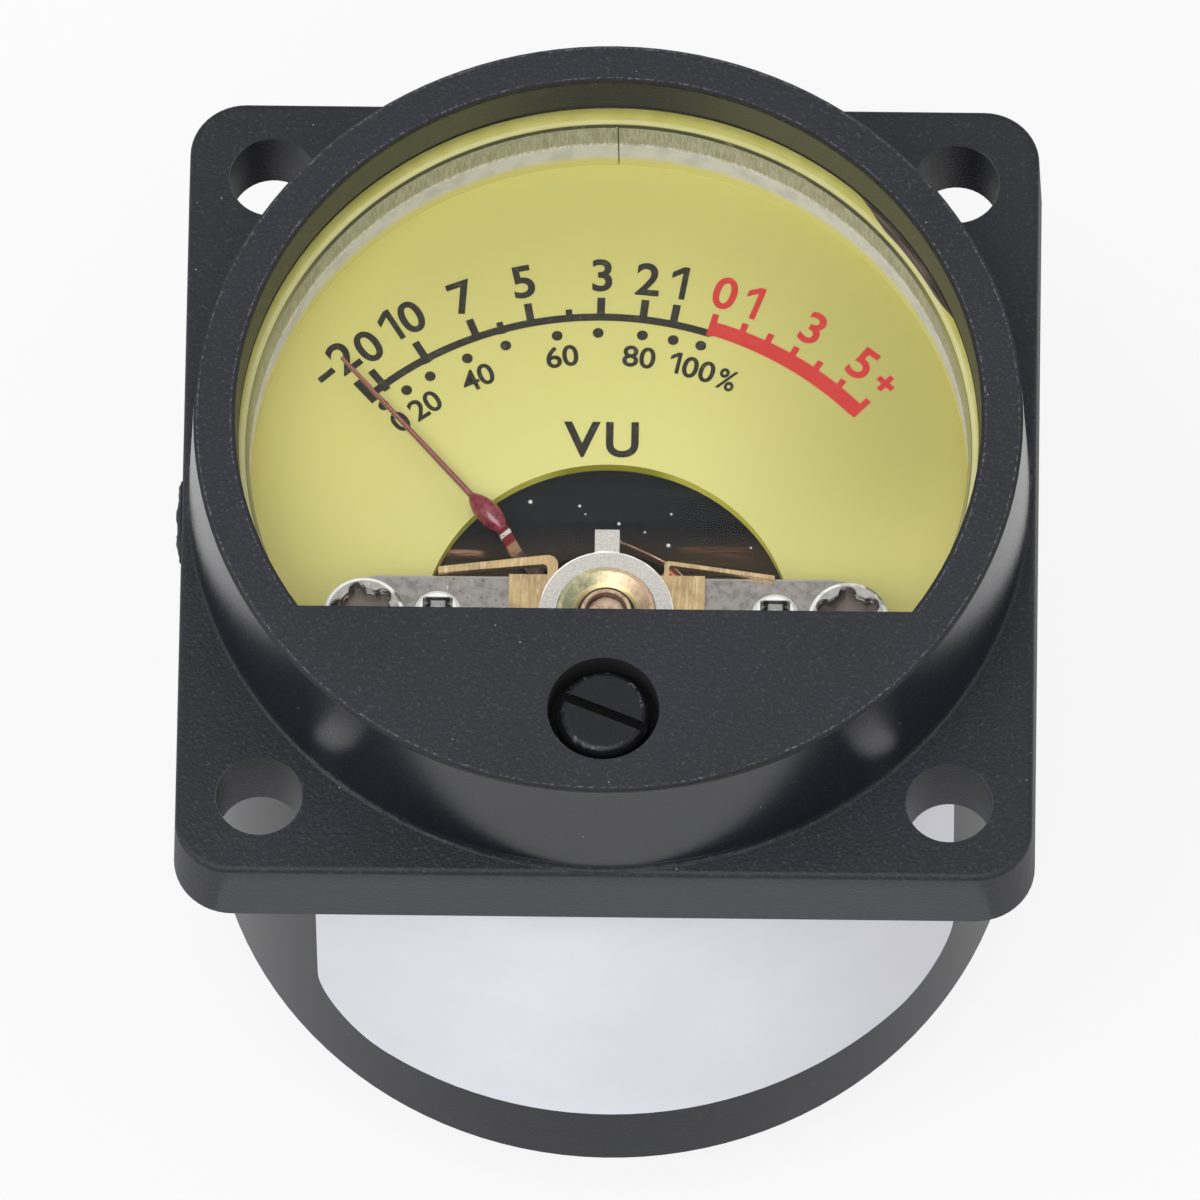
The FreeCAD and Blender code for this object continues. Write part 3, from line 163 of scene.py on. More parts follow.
class Finish:
    """A material as it is mixed, with places and grain in mm."""

    def __init__(self, name):
        self.material = bpy.data.materials.new(name)
        self.material.use_nodes = True
        self.tree = self.material.node_tree
        self.tree.nodes.clear()
        self.place = self.node("ShaderNodeTexCoord", output="Object")
        self.x, self.y, self.z = (self.along(axis) for axis in "XYZ")

    def node(self, kind, settings=None, inputs=None, output=0):
        """Adds a node with its settings and the values or links of its sockets."""
        made = self.tree.nodes.new(kind)
        for key, value in (settings or {}).items():
            setattr(made, key, value)
        for key, value in (inputs or {}).items():
            if isinstance(value, Level):
                self.tree.links.new(value.socket, made.inputs[key])
            else:
                made.inputs[key].default_value = value
        return Level(self, made.outputs[output])

    def along(self, axis):
        """Object place along an axis, in mm."""
        return self.node("ShaderNodeSeparateXYZ", inputs={0: self.place}, output=axis) / MM

    def stretched(self, grain):
        """Object place over the grain's size in mm, one size or one for each axis."""
        sizes = grain if isinstance(grain, tuple) else (grain, grain, grain)
        inputs = {0: self.place, 1: [1 / (size * MM) for size in sizes]}
        return self.node("ShaderNodeVectorMath", {"operation": "MULTIPLY"}, inputs)

    def cloud(self, grain, detail, roughness=0.5):
        """Noise from 0 to 1 with a grain in mm, one size or one for each axis."""
        inputs = {"Vector": self.stretched(grain), "Scale": 1.0, "Detail": detail,
                  "Roughness": roughness}
        return self.node("ShaderNodeTexNoise", inputs=inputs)

    def specks(self, pitch, radius, share):
        """1 on small round specks, one to a cell of the pitch, on a share of the cells."""
        inputs = {"Vector": self.stretched(pitch), "Scale": 1.0}
        near = self.node("ShaderNodeTexVoronoi", inputs=inputs, output="Distance") < radius / pitch
        chance = self.node("ShaderNodeTexVoronoi", inputs=inputs, output="Color")
        return near * (self.node("ShaderNodeSeparateColor", inputs={0: chance}) < share)

    def ramp(self, value, low, high):
        """Smooth 0 to 1 as the value goes from low to high."""
        inputs = {"Value": value, "From Min": low, "From Max": high}
        return self.node("ShaderNodeMapRange", {"interpolation_type": "SMOOTHSTEP"}, inputs)

    def fade(self, value, low, high):
        """Smooth 1 to 0 as the value goes from low to high."""
        return 1 - self.ramp(value, low, high)

    def between(self, value, low, high, soft):
        """1 where the value lies between two limits, with soft edges outside them."""
        return self.ramp(value, low - soft, low) * self.fade(value, high, high + soft)

    def size(self, value):
        """The value without its sign."""
        return self.node("ShaderNodeMath", {"operation": "ABSOLUTE"}, {0: value})

    def reach(self, x=0.0, y=0.0, twins=False):
        """Distance in mm from an upright line, or from the nearer of it and its twin across X = 0."""
        across = (self.size(self.x) if twins else self.x) - x
        rise = self.y - y
        squares = across * across + rise * rise
        return self.node("ShaderNodeMath", {"operation": "SQRT"}, {0: squares})

    def mix(self, factor, colour, other):
        """Colour where the factor is 0, the other colour where it is 1."""
        inputs = {0: factor, MIX_FIRST: plain(colour), MIX_SECOND: plain(other)}
        return self.node("ShaderNodeMix", {"data_type": "RGBA"}, inputs, MIX_RESULT)

    def relief(self, height, depth, strength=1.0):
        """Normal of a surface with a height from 0 to 1 over a depth in mm."""
        inputs = {"Height": height, "Distance": depth * MM, "Strength": strength}
        return self.node("ShaderNodeBump", inputs=inputs)

    def surface(self, colour, roughness, normal, **others):
        """Closes the finish with one Principled shader; the others are sockets by name."""
        inputs = {"Base Color": plain(colour), "Roughness": roughness, "Normal": normal}
        inputs.update({key.replace("_", " "): value for key, value in others.items()})
        return self.close(self.node("ShaderNodeBsdfPrincipled", inputs=inputs))

    def close(self, shader):
        """Ends the finish with a shader, and gives the material."""
        end = self.tree.nodes.new("ShaderNodeOutputMaterial")
        self.tree.links.new(shader.socket, end.inputs["Surface"])
        return self.material


def black_resin(f, grain, fleck, specks=0.35):
    """Bluish black with painted highlights on its grain's peaks and a few settled specks: colour and
    grain.
    """
    texture = f.cloud(grain, 3.0, 0.65)
    drift = f.ramp(f.cloud(9.0, 1.0), 0.3, 0.7)
    colour = f.mix(drift, (0.0046, 0.0052, 0.0096), (0.0078, 0.0086, 0.0142))
    # Painted highlights: pale flecks on the peaks of the grain
    colour = f.mix(f.ramp(texture, 0.54, 0.72) * fleck, colour, (0.050, 0.051, 0.060))
    colour = f.mix(f.specks(0.9, 0.035, specks) * 0.7, colour, (0.30, 0.30, 0.31))
    return colour, texture


def plain_moulding(name, sheen, grain, gloss):
    """Satin black moulding."""
    f = Finish(name)
    colour, texture = black_resin(f, grain, 0.3)
    roughness = sheen + 0.10 * (texture - 0.5)
    return f.surface(colour, roughness, f.relief(texture, 0.012, 0.8), Specular_IOR_Level=gloss)


def cover_moulding(name):
    """Grained faces, smoother walls, painted highlights along the bezel's edges and painted shade in
    the screw recess.
    """
    f = Finish(name)
    radius = f.reach()
    face = f.ramp(f.z, FRONT_Z - 0.20, FRONT_Z - 0.10)
    wall = f.between(f.z, 4.2, FRONT_Z - 0.30, 0.1) * f.ramp(radius, BEZEL_R - 0.31, BEZEL_R - 0.21)
    colour, texture = black_resin(f, 0.16, 0.5 - 0.42 * wall)
    above = f.ramp(f.y, APRON_Y, APRON_Y + 0.1)
    # Painted highlights: dashed pale lines along the bezel's edges, the worn cloud breaking them up
    worn = f.ramp(f.cloud(0.16, 3.0, 0.7), 0.45, 0.65)
    outer_edge_highlight = f.between(radius, BEZEL_R - 0.10, BEZEL_R - 0.06, 0.02)
    inner_edge_highlight = f.between(radius, WINDOW_R + 0.07, WINDOW_R + 0.11, 0.02) * above
    colour = f.mix((outer_edge_highlight + inner_edge_highlight) * worn * face * 0.6, colour, (0.13, 0.13, 0.15))
    # Painted shade: near black on the bezel's outer rim, the window's inner rim and in the screw
    # recess
    outside = f.ramp(radius, BEZEL_R - 0.015, BEZEL_R) * f.ramp(f.z, FRONT_Z - 0.16, FRONT_Z - 0.13)
    inside = f.fade(radius, WINDOW_R, WINDOW_R + 0.04) * above * face
    round_recess = f.fade(f.reach(0, ZERO_Y), RECESS_R - 0.03, RECESS_R + 0.03)
    recess = round_recess * f.fade(f.z, FRONT_Z - 0.10, FRONT_Z - 0.02)
    colour = f.mix(outside + inside + recess, colour, (0.0008, 0.0008, 0.0012))
    # Painted reflection: the dial's olive yellow on the lip wall, stronger towards the sides
    lip = f.fade(radius, WINDOW_R - 0.04, WINDOW_R + 0.02) * above * (1 - face)
    foot = lip * f.fade(f.z, WINDOW_TOP + 0.13, WINDOW_TOP + 0.25)
    lit = 0.15 + 0.85 * f.ramp(f.size(f.x), 1.0, 7.0)
    colour = f.mix(lip * lit, colour, (0.060, 0.060, 0.034))
    # Painted shade: near black along the foot of the lip wall, by the window
    colour = f.mix(foot * f.ramp(f.size(f.x), 1.0, 5.0), colour, (0.0020, 0.0018, 0.0010))
    # Painted light: the flange's lower side, which faces the front, made lighter
    lit_lower_side = f.fade(f.y, 0.08 - FLANGE_HALF, 0.14 - FLANGE_HALF)
    colour = f.mix(lit_lower_side * 0.6, colour, (0.044, 0.046, 0.056))
    # Painted light: the side walls of the mounting holes lighter, as if lit from below
    across = f.size(f.size(f.x) - HOLE_X)
    down = f.size(f.size(f.y) - HOLE_X)
    lit_hole = across * across + down * down < (HOLE_R + 0.03) ** 2
    colour = f.mix(lit_hole * f.ramp(across, 0.6, 1.6) * 0.7, colour, (0.050, 0.052, 0.062))
    # Painted highlights: two soft pale spots low on the bezel's wall
    wall_highlight = f.fade(f.reach(10.7, -12.1, twins=True), 0.2, 1.5) * wall
    colour = f.mix(wall_highlight * 0.35, colour, (0.050, 0.050, 0.053))
    roughness = 0.56 - 0.30 * wall + 0.40 * (recess + foot) + 0.10 * (texture - 0.5)
    normal = f.relief(texture * (1 - 0.95 * wall), 0.040)
    return f.surface(colour, roughness, normal, Specular_IOR_Level=0.40)


def screw_moulding(name):
    """Black screw: scuffs with painted highlights on its rounding, and painted shade in its slot and
    down its side.
    """
    f = Finish(name)
    colour, texture = black_resin(f, 0.10, 0.3, 0.1)
    rounding = f.between(f.reach(0, ZERO_Y), SCREW_R - 0.31, SCREW_R - 0.10, 0.05)
    # Scuffs on the rounding, also standing for painted highlight flecks
    scuffs = rounding * f.ramp(f.cloud(0.34, 3.0, 0.7), 0.54, 0.68)
    # Painted shade: near black in the slot and down the side, below the head's top
    low = f.fade(f.z, SCREW_TOP - 0.23, SCREW_TOP - 0.13)
    colour = f.mix(0.45, colour, (0.0015, 0.0015, 0.0022))
    colour = f.mix(scuffs * 0.6, colour, (0.13, 0.13, 0.14))
    colour = f.mix(low, colour, (0.0008, 0.0008, 0.0010))
    roughness = 0.36 + 0.55 * low + 0.15 * (texture - 0.5)
    return f.surface(colour, roughness, f.relief(texture, 0.02, 0.8), Specular_IOR_Level=0.25)


def see_through(f, tint, roughness, share):
    """Tinted light passes straight through, and a share of the gloss of the faces shows."""
    gloss = f.node("ShaderNodeBsdfGlossy", inputs={"Color": WHITE, "Roughness": roughness})
    clear = f.node("ShaderNodeBsdfTransparent", inputs={"Color": plain(tint)})
    return f.close(f.node("ShaderNodeMixShader", inputs={0: share, 1: clear, 2: gloss}))


def clear_window(name):
    """Clear polished sheet with a faint haze in its gloss."""
    f = Finish(name)
    haze = f.cloud(4.0, 2.0)
    mirror = f.node("ShaderNodeFresnel", inputs={"IOR": 1.45})
    return see_through(f, (0.985, 0.99, 0.985), 0.02 + 0.03 * haze, mirror * 0.15)


def yellow_translucent(name):
    """Yellow ring: a painted highlight along the middle of its rim, painted shade by the strip, brown
    painted shade where it has come away.
    """
    f = Finish(name)
    radius = f.reach()
    angle = f.node("ShaderNodeMath", {"operation": "ARCTAN2"}, {0: f.x, 1: f.y}) * (180 / math.pi)
    cloud = f.cloud(1.2, 2.0)
    turned = f.node("ShaderNodeCombineXYZ", inputs={0: radius * 18.0, 1: angle * 0.12})
    rings = f.node("ShaderNodeTexNoise", inputs={"Vector": turned, "Scale": 1.0, "Detail": 2.0})
    # Painted highlight: a cream band along the middle of the rim
    middle = f.between(radius, STRIP_R + 0.10, STRIP_R + 0.20, 0.08)
    # Painted shade: dark at the inner edge, in the gap to the strip
    strip_gap_shade = f.fade(radius, STRIP_R, STRIP_R + 0.05)
    colour = f.mix(f.ramp(cloud, 0.3, 0.7), (0.53, 0.49, 0.13), (0.60, 0.56, 0.18))
    colour = f.mix(middle * 0.6, colour, (0.70, 0.66, 0.40))
    colour = f.mix(f.ramp(rings, 0.55, 0.75) * 0.4, colour, (0.36, 0.33, 0.10))
    colour = f.mix(strip_gap_shade, colour, (0.10, 0.095, 0.025))
    # Painted shade: brown in the gap where the ring has come away from the window
    bulge = f.between(angle, 49.0, 61.0, 10.0)
    peel_shade = (radius > 15.42 - 0.46 * bulge) * (bulge > 0.02)
    brown = f.mix(f.ramp(rings, 0.35, 0.65), (0.035, 0.024, 0.018), (0.17, 0.13, 0.11))
    return f.surface(f.mix(peel_shade, colour, brown), 0.40 + 0.1 * cloud, f.relief(cloud, 0.01))


def brushed_strip(name):
    """Rolled bright strip: upright marks, a pale band low down with a painted glint, the dial's yellow
    painted on its foot, painted shade on its top.
    """
    f = Finish(name)
    marks = f.cloud((0.09, 0.09, 0.9), 3.0, 0.75)
    stain = f.cloud((0.9, 0.9, 1.2), 3.0, 0.6)
    grain = f.cloud((0.12, 0.12, 0.3), 3.0, 0.7)
    band = f.fade(f.z, 5.75, 6.15)
    # Painted highlight: a glint along the top of the pale band
    glint = f.between(f.z, 5.80, 6.00, 0.10) * f.ramp(grain, 0.45, 0.60)
    # Painted reflection: the dial's yellow on the strip's foot
    foot = f.fade(f.z, 4.40, 5.00)
    # Painted shade: the top edge darkened to olive, near black in places on the far side
    top = f.ramp(f.z, STRIP_TOP - 0.015, STRIP_TOP - 0.005)
    far_top_shade = top * f.ramp(f.y, 4.0, 10.0) * f.ramp(stain, 0.20, 0.42)
    pale = f.mix(f.ramp(stain, 0.4, 0.7), (0.70, 0.69, 0.76), (0.58, 0.57, 0.64))
    colour = f.mix(f.ramp(marks, 0.35, 0.65), (0.31, 0.295, 0.23), (0.49, 0.48, 0.41))
    colour = f.mix(f.ramp(stain, 0.5, 0.7) * 0.35, colour, (0.30, 0.29, 0.20))
    colour = f.mix(band, colour, pale)
    colour = f.mix(glint * 0.7, colour, (0.88, 0.88, 0.86))
    colour = f.mix(foot, colour, (0.74, 0.69, 0.27))
    colour = f.mix(f.ramp(grain, 0.60, 0.75) * 0.5, colour, (0.88, 0.88, 0.84))
    colour = f.mix(top, colour, (0.30, 0.28, 0.10))
    colour = f.mix(far_top_shade, colour, (0.060, 0.056, 0.034))
    normal = f.relief(marks, 0.010, 0.6)
    return f.surface(colour, 0.42 + 0.2 * stain, normal, Metallic=0.15 - 0.15 * top)


def dial_face(name):
    """Yellow face with painted light and shade: paler towards the lower middle, darker and greener to
    the right, saturated cut edge.
    """
    f = Finish(name)
    # Painted light and shade: a pool of light on the lower middle, shade to the top and right
    outward = f.ramp(f.reach(0, -4.0), 2.0, 16.0)
    upward = f.ramp(f.y, 1.0, 13.0)
    right = f.ramp(f.x, 2.0, 14.0) * f.ramp(f.y, -7.0, 3.0)
    paper = f.cloud(0.16, 3.0, 0.6)
    below_top = f.fade(f.z, DIAL_TOP - 0.015, DIAL_TOP - 0.003)
    # Painted light: the cut edge bright and saturated to the sides, darker in the middle
    lit_cut_edge = f.mix(f.ramp(f.size(f.x), 1.5, 3.0), (0.50, 0.46, 0.035), (0.86, 0.82, 0.13))
    colour = f.mix(outward, (0.600, 0.565, 0.205), (0.550, 0.505, 0.155))
    colour = f.mix(upward * 0.6, colour, (0.430, 0.395, 0.115))
    colour = f.mix(right, colour, (0.360, 0.330, 0.088))
    colour = f.mix(f.ramp(paper, 0.35, 0.65) * 0.10, colour, (0.62, 0.57, 0.15))
    colour = f.mix(f.specks(0.8, 0.04, 0.25) * 0.4, colour, (0.34, 0.30, 0.07))
    colour = f.mix(below_top, colour, lit_cut_edge)
    return f.surface(colour, 0.46 + 0.1 * paper, f.relief(paper, 0.006, 0.6))


def dark_steel(name):
    """Blackened plate brushed across, bluish above and brown below, with painted coppery glints."""
    f = Finish(name)
    brush = f.cloud((9.0, 0.06, 9.0), 3.0, 0.7)
    broad = f.cloud((14.0, 0.45, 9.0), 2.0)
    fine = f.cloud((1.5, 0.10, 9.0), 3.0, 0.7)
    low = f.fade(f.y, -3.4, -1.6)
    left = f.between(f.x, -6.9, -5.4, 0.5) * f.between(f.y, -2.95, -2.75, 0.12)
    right = f.between(f.x, 3.4, 5.3, 0.8) * f.between(f.y, -3.05, -2.55, 0.25)
    colour = f.mix(low, (0.0080, 0.0088, 0.0125), (0.038, 0.024, 0.012))
    colour = f.mix(f.ramp(brush, 0.45, 0.75) * 0.5, colour, (0.034, 0.031, 0.028))
    colour = f.mix(f.ramp(broad, 0.5, 0.75) * 0.6, colour, (0.0035, 0.0035, 0.0040))
    # Painted highlights: coppery glints to the left and the right, low down
    colour = f.mix(left * f.ramp(fine, 0.35, 0.6), colour, (0.34, 0.19, 0.12))
    colour = f.mix(right * f.ramp(fine, 0.40, 0.7) * 0.6, colour, (0.20, 0.085, 0.045))
    normal = f.relief(brush, 0.01)
    return f.surface(colour, 0.42 + 0.2 * broad, normal, Metallic=0.1, Specular_IOR_Level=0.12)


def plating(f, tone, scuffs):
    """Colour and wear of bright plating with short scratches and small pits."""
    wear = f.cloud(0.40, 4.0, 0.75)
    streaks = f.ramp(f.cloud((0.05, 0.30, 0.30), 2.0, 0.7), 0.64, 0.72)
    scratches = streaks * f.ramp(f.cloud(1.6, 2.0), 0.5, 0.65)
    pits = f.specks(0.30, 0.05, 0.3)
    colour = f.mix(f.ramp(wear, 0.42, 0.68) * scuffs, tone, [0.35 * part for part in tone])
    colour = f.mix(scratches * 0.7, colour, (0.90, 0.89, 0.88))
    return f.mix(pits * 0.6, colour, (0.06, 0.06, 0.06)), wear


def plated_steel(name, tone=(0.40, 0.39, 0.38), sheen=0.26, scuffs=0.6):
    """Bright plating with cloudy wear."""
    f = Finish(name)
    colour, wear = plating(f, tone, scuffs)
    return f.surface(colour, sheen + 0.22 * wear, f.relief(wear, 0.012, 0.7), Metallic=0.95)


def screw_steel(name):
    """Bright pan heads: painted highlights on the rim and the socket's walls, painted shade in the
    socket, a grey-brown floor.
    """
    f = Finish(name)
    colour, wear = plating(f, (0.42, 0.40, 0.38), 0.5)
    top = ends_of("bridge_screws")[2]
    reach = f.reach(BRIDGE_SCREW_X, PIVOT_Y, twins=True)
    socket = f.fade(reach, 1.42, 1.45)
    # Painted highlights: glints on the socket's walls, and white on the raised rim broken up by a
    # cloud
    walls = f.between(f.z, top - 0.50, top - 0.06, 0.04)
    glints = socket * f.ramp(f.cloud(0.40, 2.0), 0.52, 0.56) * walls
    raised = f.ramp(reach, 1.45, 1.50) * f.ramp(f.z, top - 0.20, top - 0.14)
    white = glints + raised * f.ramp(f.cloud(0.9, 2.0), 0.32, 0.48)
    # Painted shade: the socket dark below its rim
    colour = f.mix(socket * f.fade(f.z, top - 0.10, top - 0.04), colour, (0.075, 0.062, 0.058))
    colour = f.mix(socket * f.fade(f.z, top - 0.63, top - 0.59), colour, (0.155, 0.125, 0.110))
    colour = f.mix(white, colour, (0.95, 0.94, 0.93))
    normal = f.relief(wear, 0.012, 0.7)
    return f.surface(colour, 0.22 + 0.22 * wear, normal, Metallic=0.9 - 0.9 * white)


def rivet_steel(name):
    """Hollow rivets: painted highlights on the rim and the domed pin, painted shade in the square
    socket.
    """
    f = Finish(name)
    colour, wear = plating(f, (0.42, 0.40, 0.38), 0.5)
    top = ends_of("bar_rivets")[2]
    reach = f.reach(RIVET_X, RIVET_Y, twins=True)
    # Painted shade: the square socket dark
    socket = f.fade(f.z, top - 0.09, top - 0.03) * f.fade(reach, 0.76, 0.80)
    # Painted reflection: the pin's light low on the socket's back wall
    centred = f.fade(f.size(f.size(f.x) - RIVET_X), 0.24, 0.34)
    pin_reflection = centred * f.fade(f.z, top - 0.39, top - 0.33) * f.ramp(f.z, top - 0.57, top - 0.53)
    pin = 1 - f.ramp(reach, 0.36, 0.42) * (1 - pin_reflection)
    # Painted highlights: the rim and the domed pin white
    white = pin + f.ramp(f.z, top - 0.21, top - 0.15) * (1 - socket)
    colour = f.mix(socket, colour, (0.012, 0.010, 0.010))
    colour = f.mix(white, colour, (0.93, 0.92, 0.91))
    normal = f.relief(wear, 0.012, 0.7)
    return f.surface(colour, 0.30 + 0.2 * wear, normal, Metallic=0.8 - 0.8 * white)


def bar_steel(name):
    """Grey plated bar: a smoother light upper side, and a scratched and mottled face."""
    f = Finish(name)
    colour, wear = plating(f, (0.32, 0.295, 0.28), 0.6)
    side_y = ends_of("bridge_bar")[1]
    colour = f.mix(f.ramp(f.y, side_y - 0.13, side_y - 0.01), colour, (0.36, 0.34, 0.32))
    return f.surface(colour, 0.30 + 0.16 * wear, f.relief(wear, 0.014, 0.7), Metallic=0.95)


def satin_aluminium(name, rim=None):
    """Stamped and tumbled light metal with a fine sparkle, and a painted highlight along a rim where
    one is given.
    """
    f = Finish(name)
    sparkle = f.cloud(0.07, 3.0, 0.7)
    cloud = f.cloud(1.5, 2.0)
    colour = f.mix(f.ramp(sparkle, 0.3, 0.7), (0.45, 0.43, 0.41), (0.66, 0.63, 0.59))
    if rim:
        # Painted highlight: white along the rim, broken up by a cloud
        edge = f.between(f.reach(0, PIVOT_Y), rim - 0.04, rim + 0.02, 0.02)
        colour = f.mix(edge * f.ramp(cloud, 0.35, 0.65), colour, (1.0, 1.0, 0.99))
    return f.surface(colour, 0.40 + 0.12 * cloud, f.relief(sparkle, 0.012, 0.8), Metallic=0.85)


def rolled_brass(name):
    """Satin brass sheet with tarnish and fine rolling lines."""
    f = Finish(name)
    tarnished = (0.34, 0.24, 0.13)
    lines = f.cloud((0.10, 1.4, 0.5), 3.0, 0.7)
    tarnish = f.cloud(0.9, 3.0, 0.65)
    colour = f.mix(f.ramp(tarnish, 0.4, 0.75) * 0.8, (0.56, 0.40, 0.21), tarnished)
    colour = f.mix(f.ramp(lines, 0.45, 0.30) * 0.45, colour, tarnished)
    colour = f.mix(f.ramp(lines, 0.52, 0.68) * 0.7, colour, (0.76, 0.62, 0.40))
    return f.surface(colour, 0.32 + 0.2 * tarnish, f.relief(lines, 0.012, 0.8), Metallic=0.9)


def wound_copper(name):
    """Enamelled wire in even turns round the coil's section."""
    f = Finish(name)
    inputs = {"Vector": f.stretched(0.55), "Scale": 1.0, "Distortion": 0.6, "Detail": 1.0}
    turns = f.node("ShaderNodeTexWave", {"bands_direction": "DIAGONAL"}, inputs)
    cloud = f.cloud(0.6, 2.0)
    colour = f.mix(f.ramp(turns, 0.2, 0.8), (0.20, 0.045, 0.022), (0.62, 0.22, 0.11))
    return f.surface(colour, 0.30 + 0.15 * cloud, f.relief(turns, 0.03), Metallic=0.7)


def thin_bronze(name):
    """Hairspring strip, straw to copper along its length."""
    f = Finish(name)
    cloud = f.cloud(0.5, 2.0)
    colour = f.mix(f.ramp(cloud, 0.3, 0.7), (0.52, 0.30, 0.20), (0.76, 0.52, 0.38))
    return f.surface(colour, 0.28 + 0.15 * cloud, f.relief(cloud, 0.005), Metallic=0.95)


def bush_brass(name):
    """Turned dish: greenish to the left, pink to the right, a painted highlight on its inner edge and
    painted shade inside.
    """
    f = Finish(name)
    tarnish = f.cloud(0.45, 3.0, 0.65)
    reach = f.reach(0, PIVOT_Y)
    colour = f.mix(f.ramp(f.x, -1.4, 1.4), (0.36, 0.36, 0.22), (0.52, 0.36, 0.25))
    colour = f.mix(f.ramp(tarnish, 0.45, 0.70) * 0.7, colour, (0.70, 0.60, 0.38))
    colour = f.mix(f.ramp(f.cloud(0.18, 2.0), 0.56, 0.70) * 0.5, colour, (0.20, 0.14, 0.07))
    # Painted highlight: a bright ring round the inner edge
    colour = f.mix(f.between(reach, 1.22, 1.36, 0.05) * 0.8, colour, (0.78, 0.62, 0.30))
    # Painted shade: dark in the gap by the jewel screw
    colour = f.mix(f.fade(reach, 1.15, 1.20), colour, (0.05, 0.03, 0.02))
    return f.surface(colour, 0.34 + 0.2 * tarnish, f.relief(tarnish, 0.01, 0.7), Metallic=0.85)


def jewel_brass(name):
    """Coppery screw: painted shade round its outside edge, a light ring, and a pale cup."""
    f = Finish(name)
    cloud = f.cloud(0.3, 3.0, 0.6)
    reach = f.reach(0, PIVOT_Y)
    colour = f.mix(f.ramp(cloud, 0.35, 0.65), (0.32, 0.19, 0.12), (0.62, 0.44, 0.32))
    # Painted shade: the gap round the screw's outside edge dark
    colour = f.mix(f.ramp(reach, 1.00, 1.05), colour, (0.035, 0.020, 0.012))
    colour = f.mix(f.between(reach, 0.78, 0.86, 0.03), colour, (0.10, 0.05, 0.03))
    return f.surface(colour, 0.30 + 0.15 * cloud, f.relief(cloud, 0.01), Metallic=0.8)


def arm_brass(name):
    """Root of the pointer: brown by the pivot, a white solder ring that is also a painted glint, a red
    end with pale adhesive.
    """
    f = Finish(name)
    reach = f.reach(0, PIVOT_Y)
    cloud = f.cloud(0.3, 3.0, 0.6)
    # White solder ring, also a painted highlight standing for a glint
    solder_glint = f.between(reach, 6.30, 6.40, 0.03) * f.ramp(cloud, 0.35, 0.50)
    colour = f.mix(f.ramp(reach, 5.55, 5.80), (0.050, 0.022, 0.014), (0.52, 0.31, 0.18))
    colour = f.mix(f.ramp(cloud, 0.5, 0.8) * 0.6, colour, (0.20, 0.09, 0.05))
    colour = f.mix(f.ramp(reach, 5.95, 6.05), colour, (0.26, 0.025, 0.030))
    colour = f.mix(solder_glint, colour, (0.90, 0.88, 0.86))
    return f.surface(colour, 0.34 + 0.15 * cloud, f.relief(cloud, 0.01), Metallic=0.3)


def red_lacquer(name):
    """Dipped dark red lacquer: a painted highlight along the middle of the stem, thick and glossy at
    the bulb.
    """
    f = Finish(name)
    run = f.cloud(0.35, 2.0)
    turn = math.radians(REST_ANGLE)
    across = f.x * math.cos(turn) - (f.y - PIVOT_Y) * math.sin(turn)
    stem = f.ramp(f.reach(0, PIVOT_Y), 8.3, 8.6)
    colour = f.mix(f.ramp(run, 0.3, 0.7), (0.150, 0.012, 0.026), (0.250, 0.034, 0.052))
    colour = f.mix(stem, colour, (0.130, 0.014, 0.012))
    # Painted highlight: a lighter line along the middle of the stem
    colour = f.mix(stem * f.fade(f.size(across), 0.010, 0.050), colour, (0.33, 0.095, 0.070))
    return f.surface(colour, 0.22 + 0.12 * run, f.relief(run, 0.02, 0.6), Coat_Weight=0.4)


def label_paper(name):
    """Plain coated paper, slightly blue-white, with painted shade greying it towards its ends."""
    f = Finish(name)
    fibre = f.cloud(0.14, 3.0, 0.6)
    drift = f.cloud(6.0, 2.0)
    colour = f.mix(f.ramp(drift, 0.3, 0.7), (0.665, 0.665, 0.725), (0.705, 0.705, 0.765))
    # Painted shade: greyer towards the ends, where the label turns away
    colour = f.mix(f.ramp(f.size(f.x), 4.0, 13.0) * 0.7, colour, (0.575, 0.575, 0.620))
    colour = f.mix(f.ramp(fibre, 0.4, 0.7) * 0.08, colour, (0.60, 0.60, 0.63))
    colour = f.mix(f.specks(1.4, 0.04, 0.2) * 0.4, colour, (0.30, 0.30, 0.32))
    return f.surface(colour, 0.50 + 0.1 * fibre, f.relief(fibre, 0.006, 0.6))


def dull_iron(name, tone):
    """Machined and oiled iron with turning marks along the axis."""
    f = Finish(name)
    marks = f.cloud((3.0, 3.0, 0.08), 3.0, 0.7)
    cloud = f.cloud(1.6, 2.0)
    light = [1.5 * part for part in tone]
    colour = f.mix(f.ramp(marks, 0.35, 0.7), tone, light)
    return f.surface(colour, 0.38 + 0.15 * cloud, f.relief(marks, 0.01), Metallic=0.85)


def board_laminate(name):
    """Brown paper laminate with sawn edges."""
    f = Finish(name)
    weave = f.cloud((0.7, 0.12, 0.12), 3.0, 0.6)
    colour = f.mix(f.ramp(weave, 0.3, 0.7), (0.28, 0.17, 0.07), (0.42, 0.28, 0.13))
    return f.surface(colour, 0.48 + 0.12 * weave, f.relief(weave, 0.01))


def sleeved_wire(name, tone):
    """Soft insulation with slight scuffs."""
    f = Finish(name)
    scuff = f.cloud(0.4, 3.0, 0.6)
    light = [min(1.0, 1.3 * part + 0.01) for part in tone]
    colour = f.mix(f.ramp(scuff, 0.4, 0.75), tone, light)
    return f.surface(colour, 0.42 + 0.15 * scuff, f.relief(scuff, 0.01))


def clear_bulb(name):
    """Thin glass with a faint grey bloom."""
    f = Finish(name)
    bloom = f.cloud(1.0, 2.0)
    mirror = f.node("ShaderNodeFresnel", inputs={"IOR": 1.5})
    return see_through(f, (0.90, 0.91, 0.90), 0.03 + 0.05 * bloom, 0.05 + mirror * 0.9)


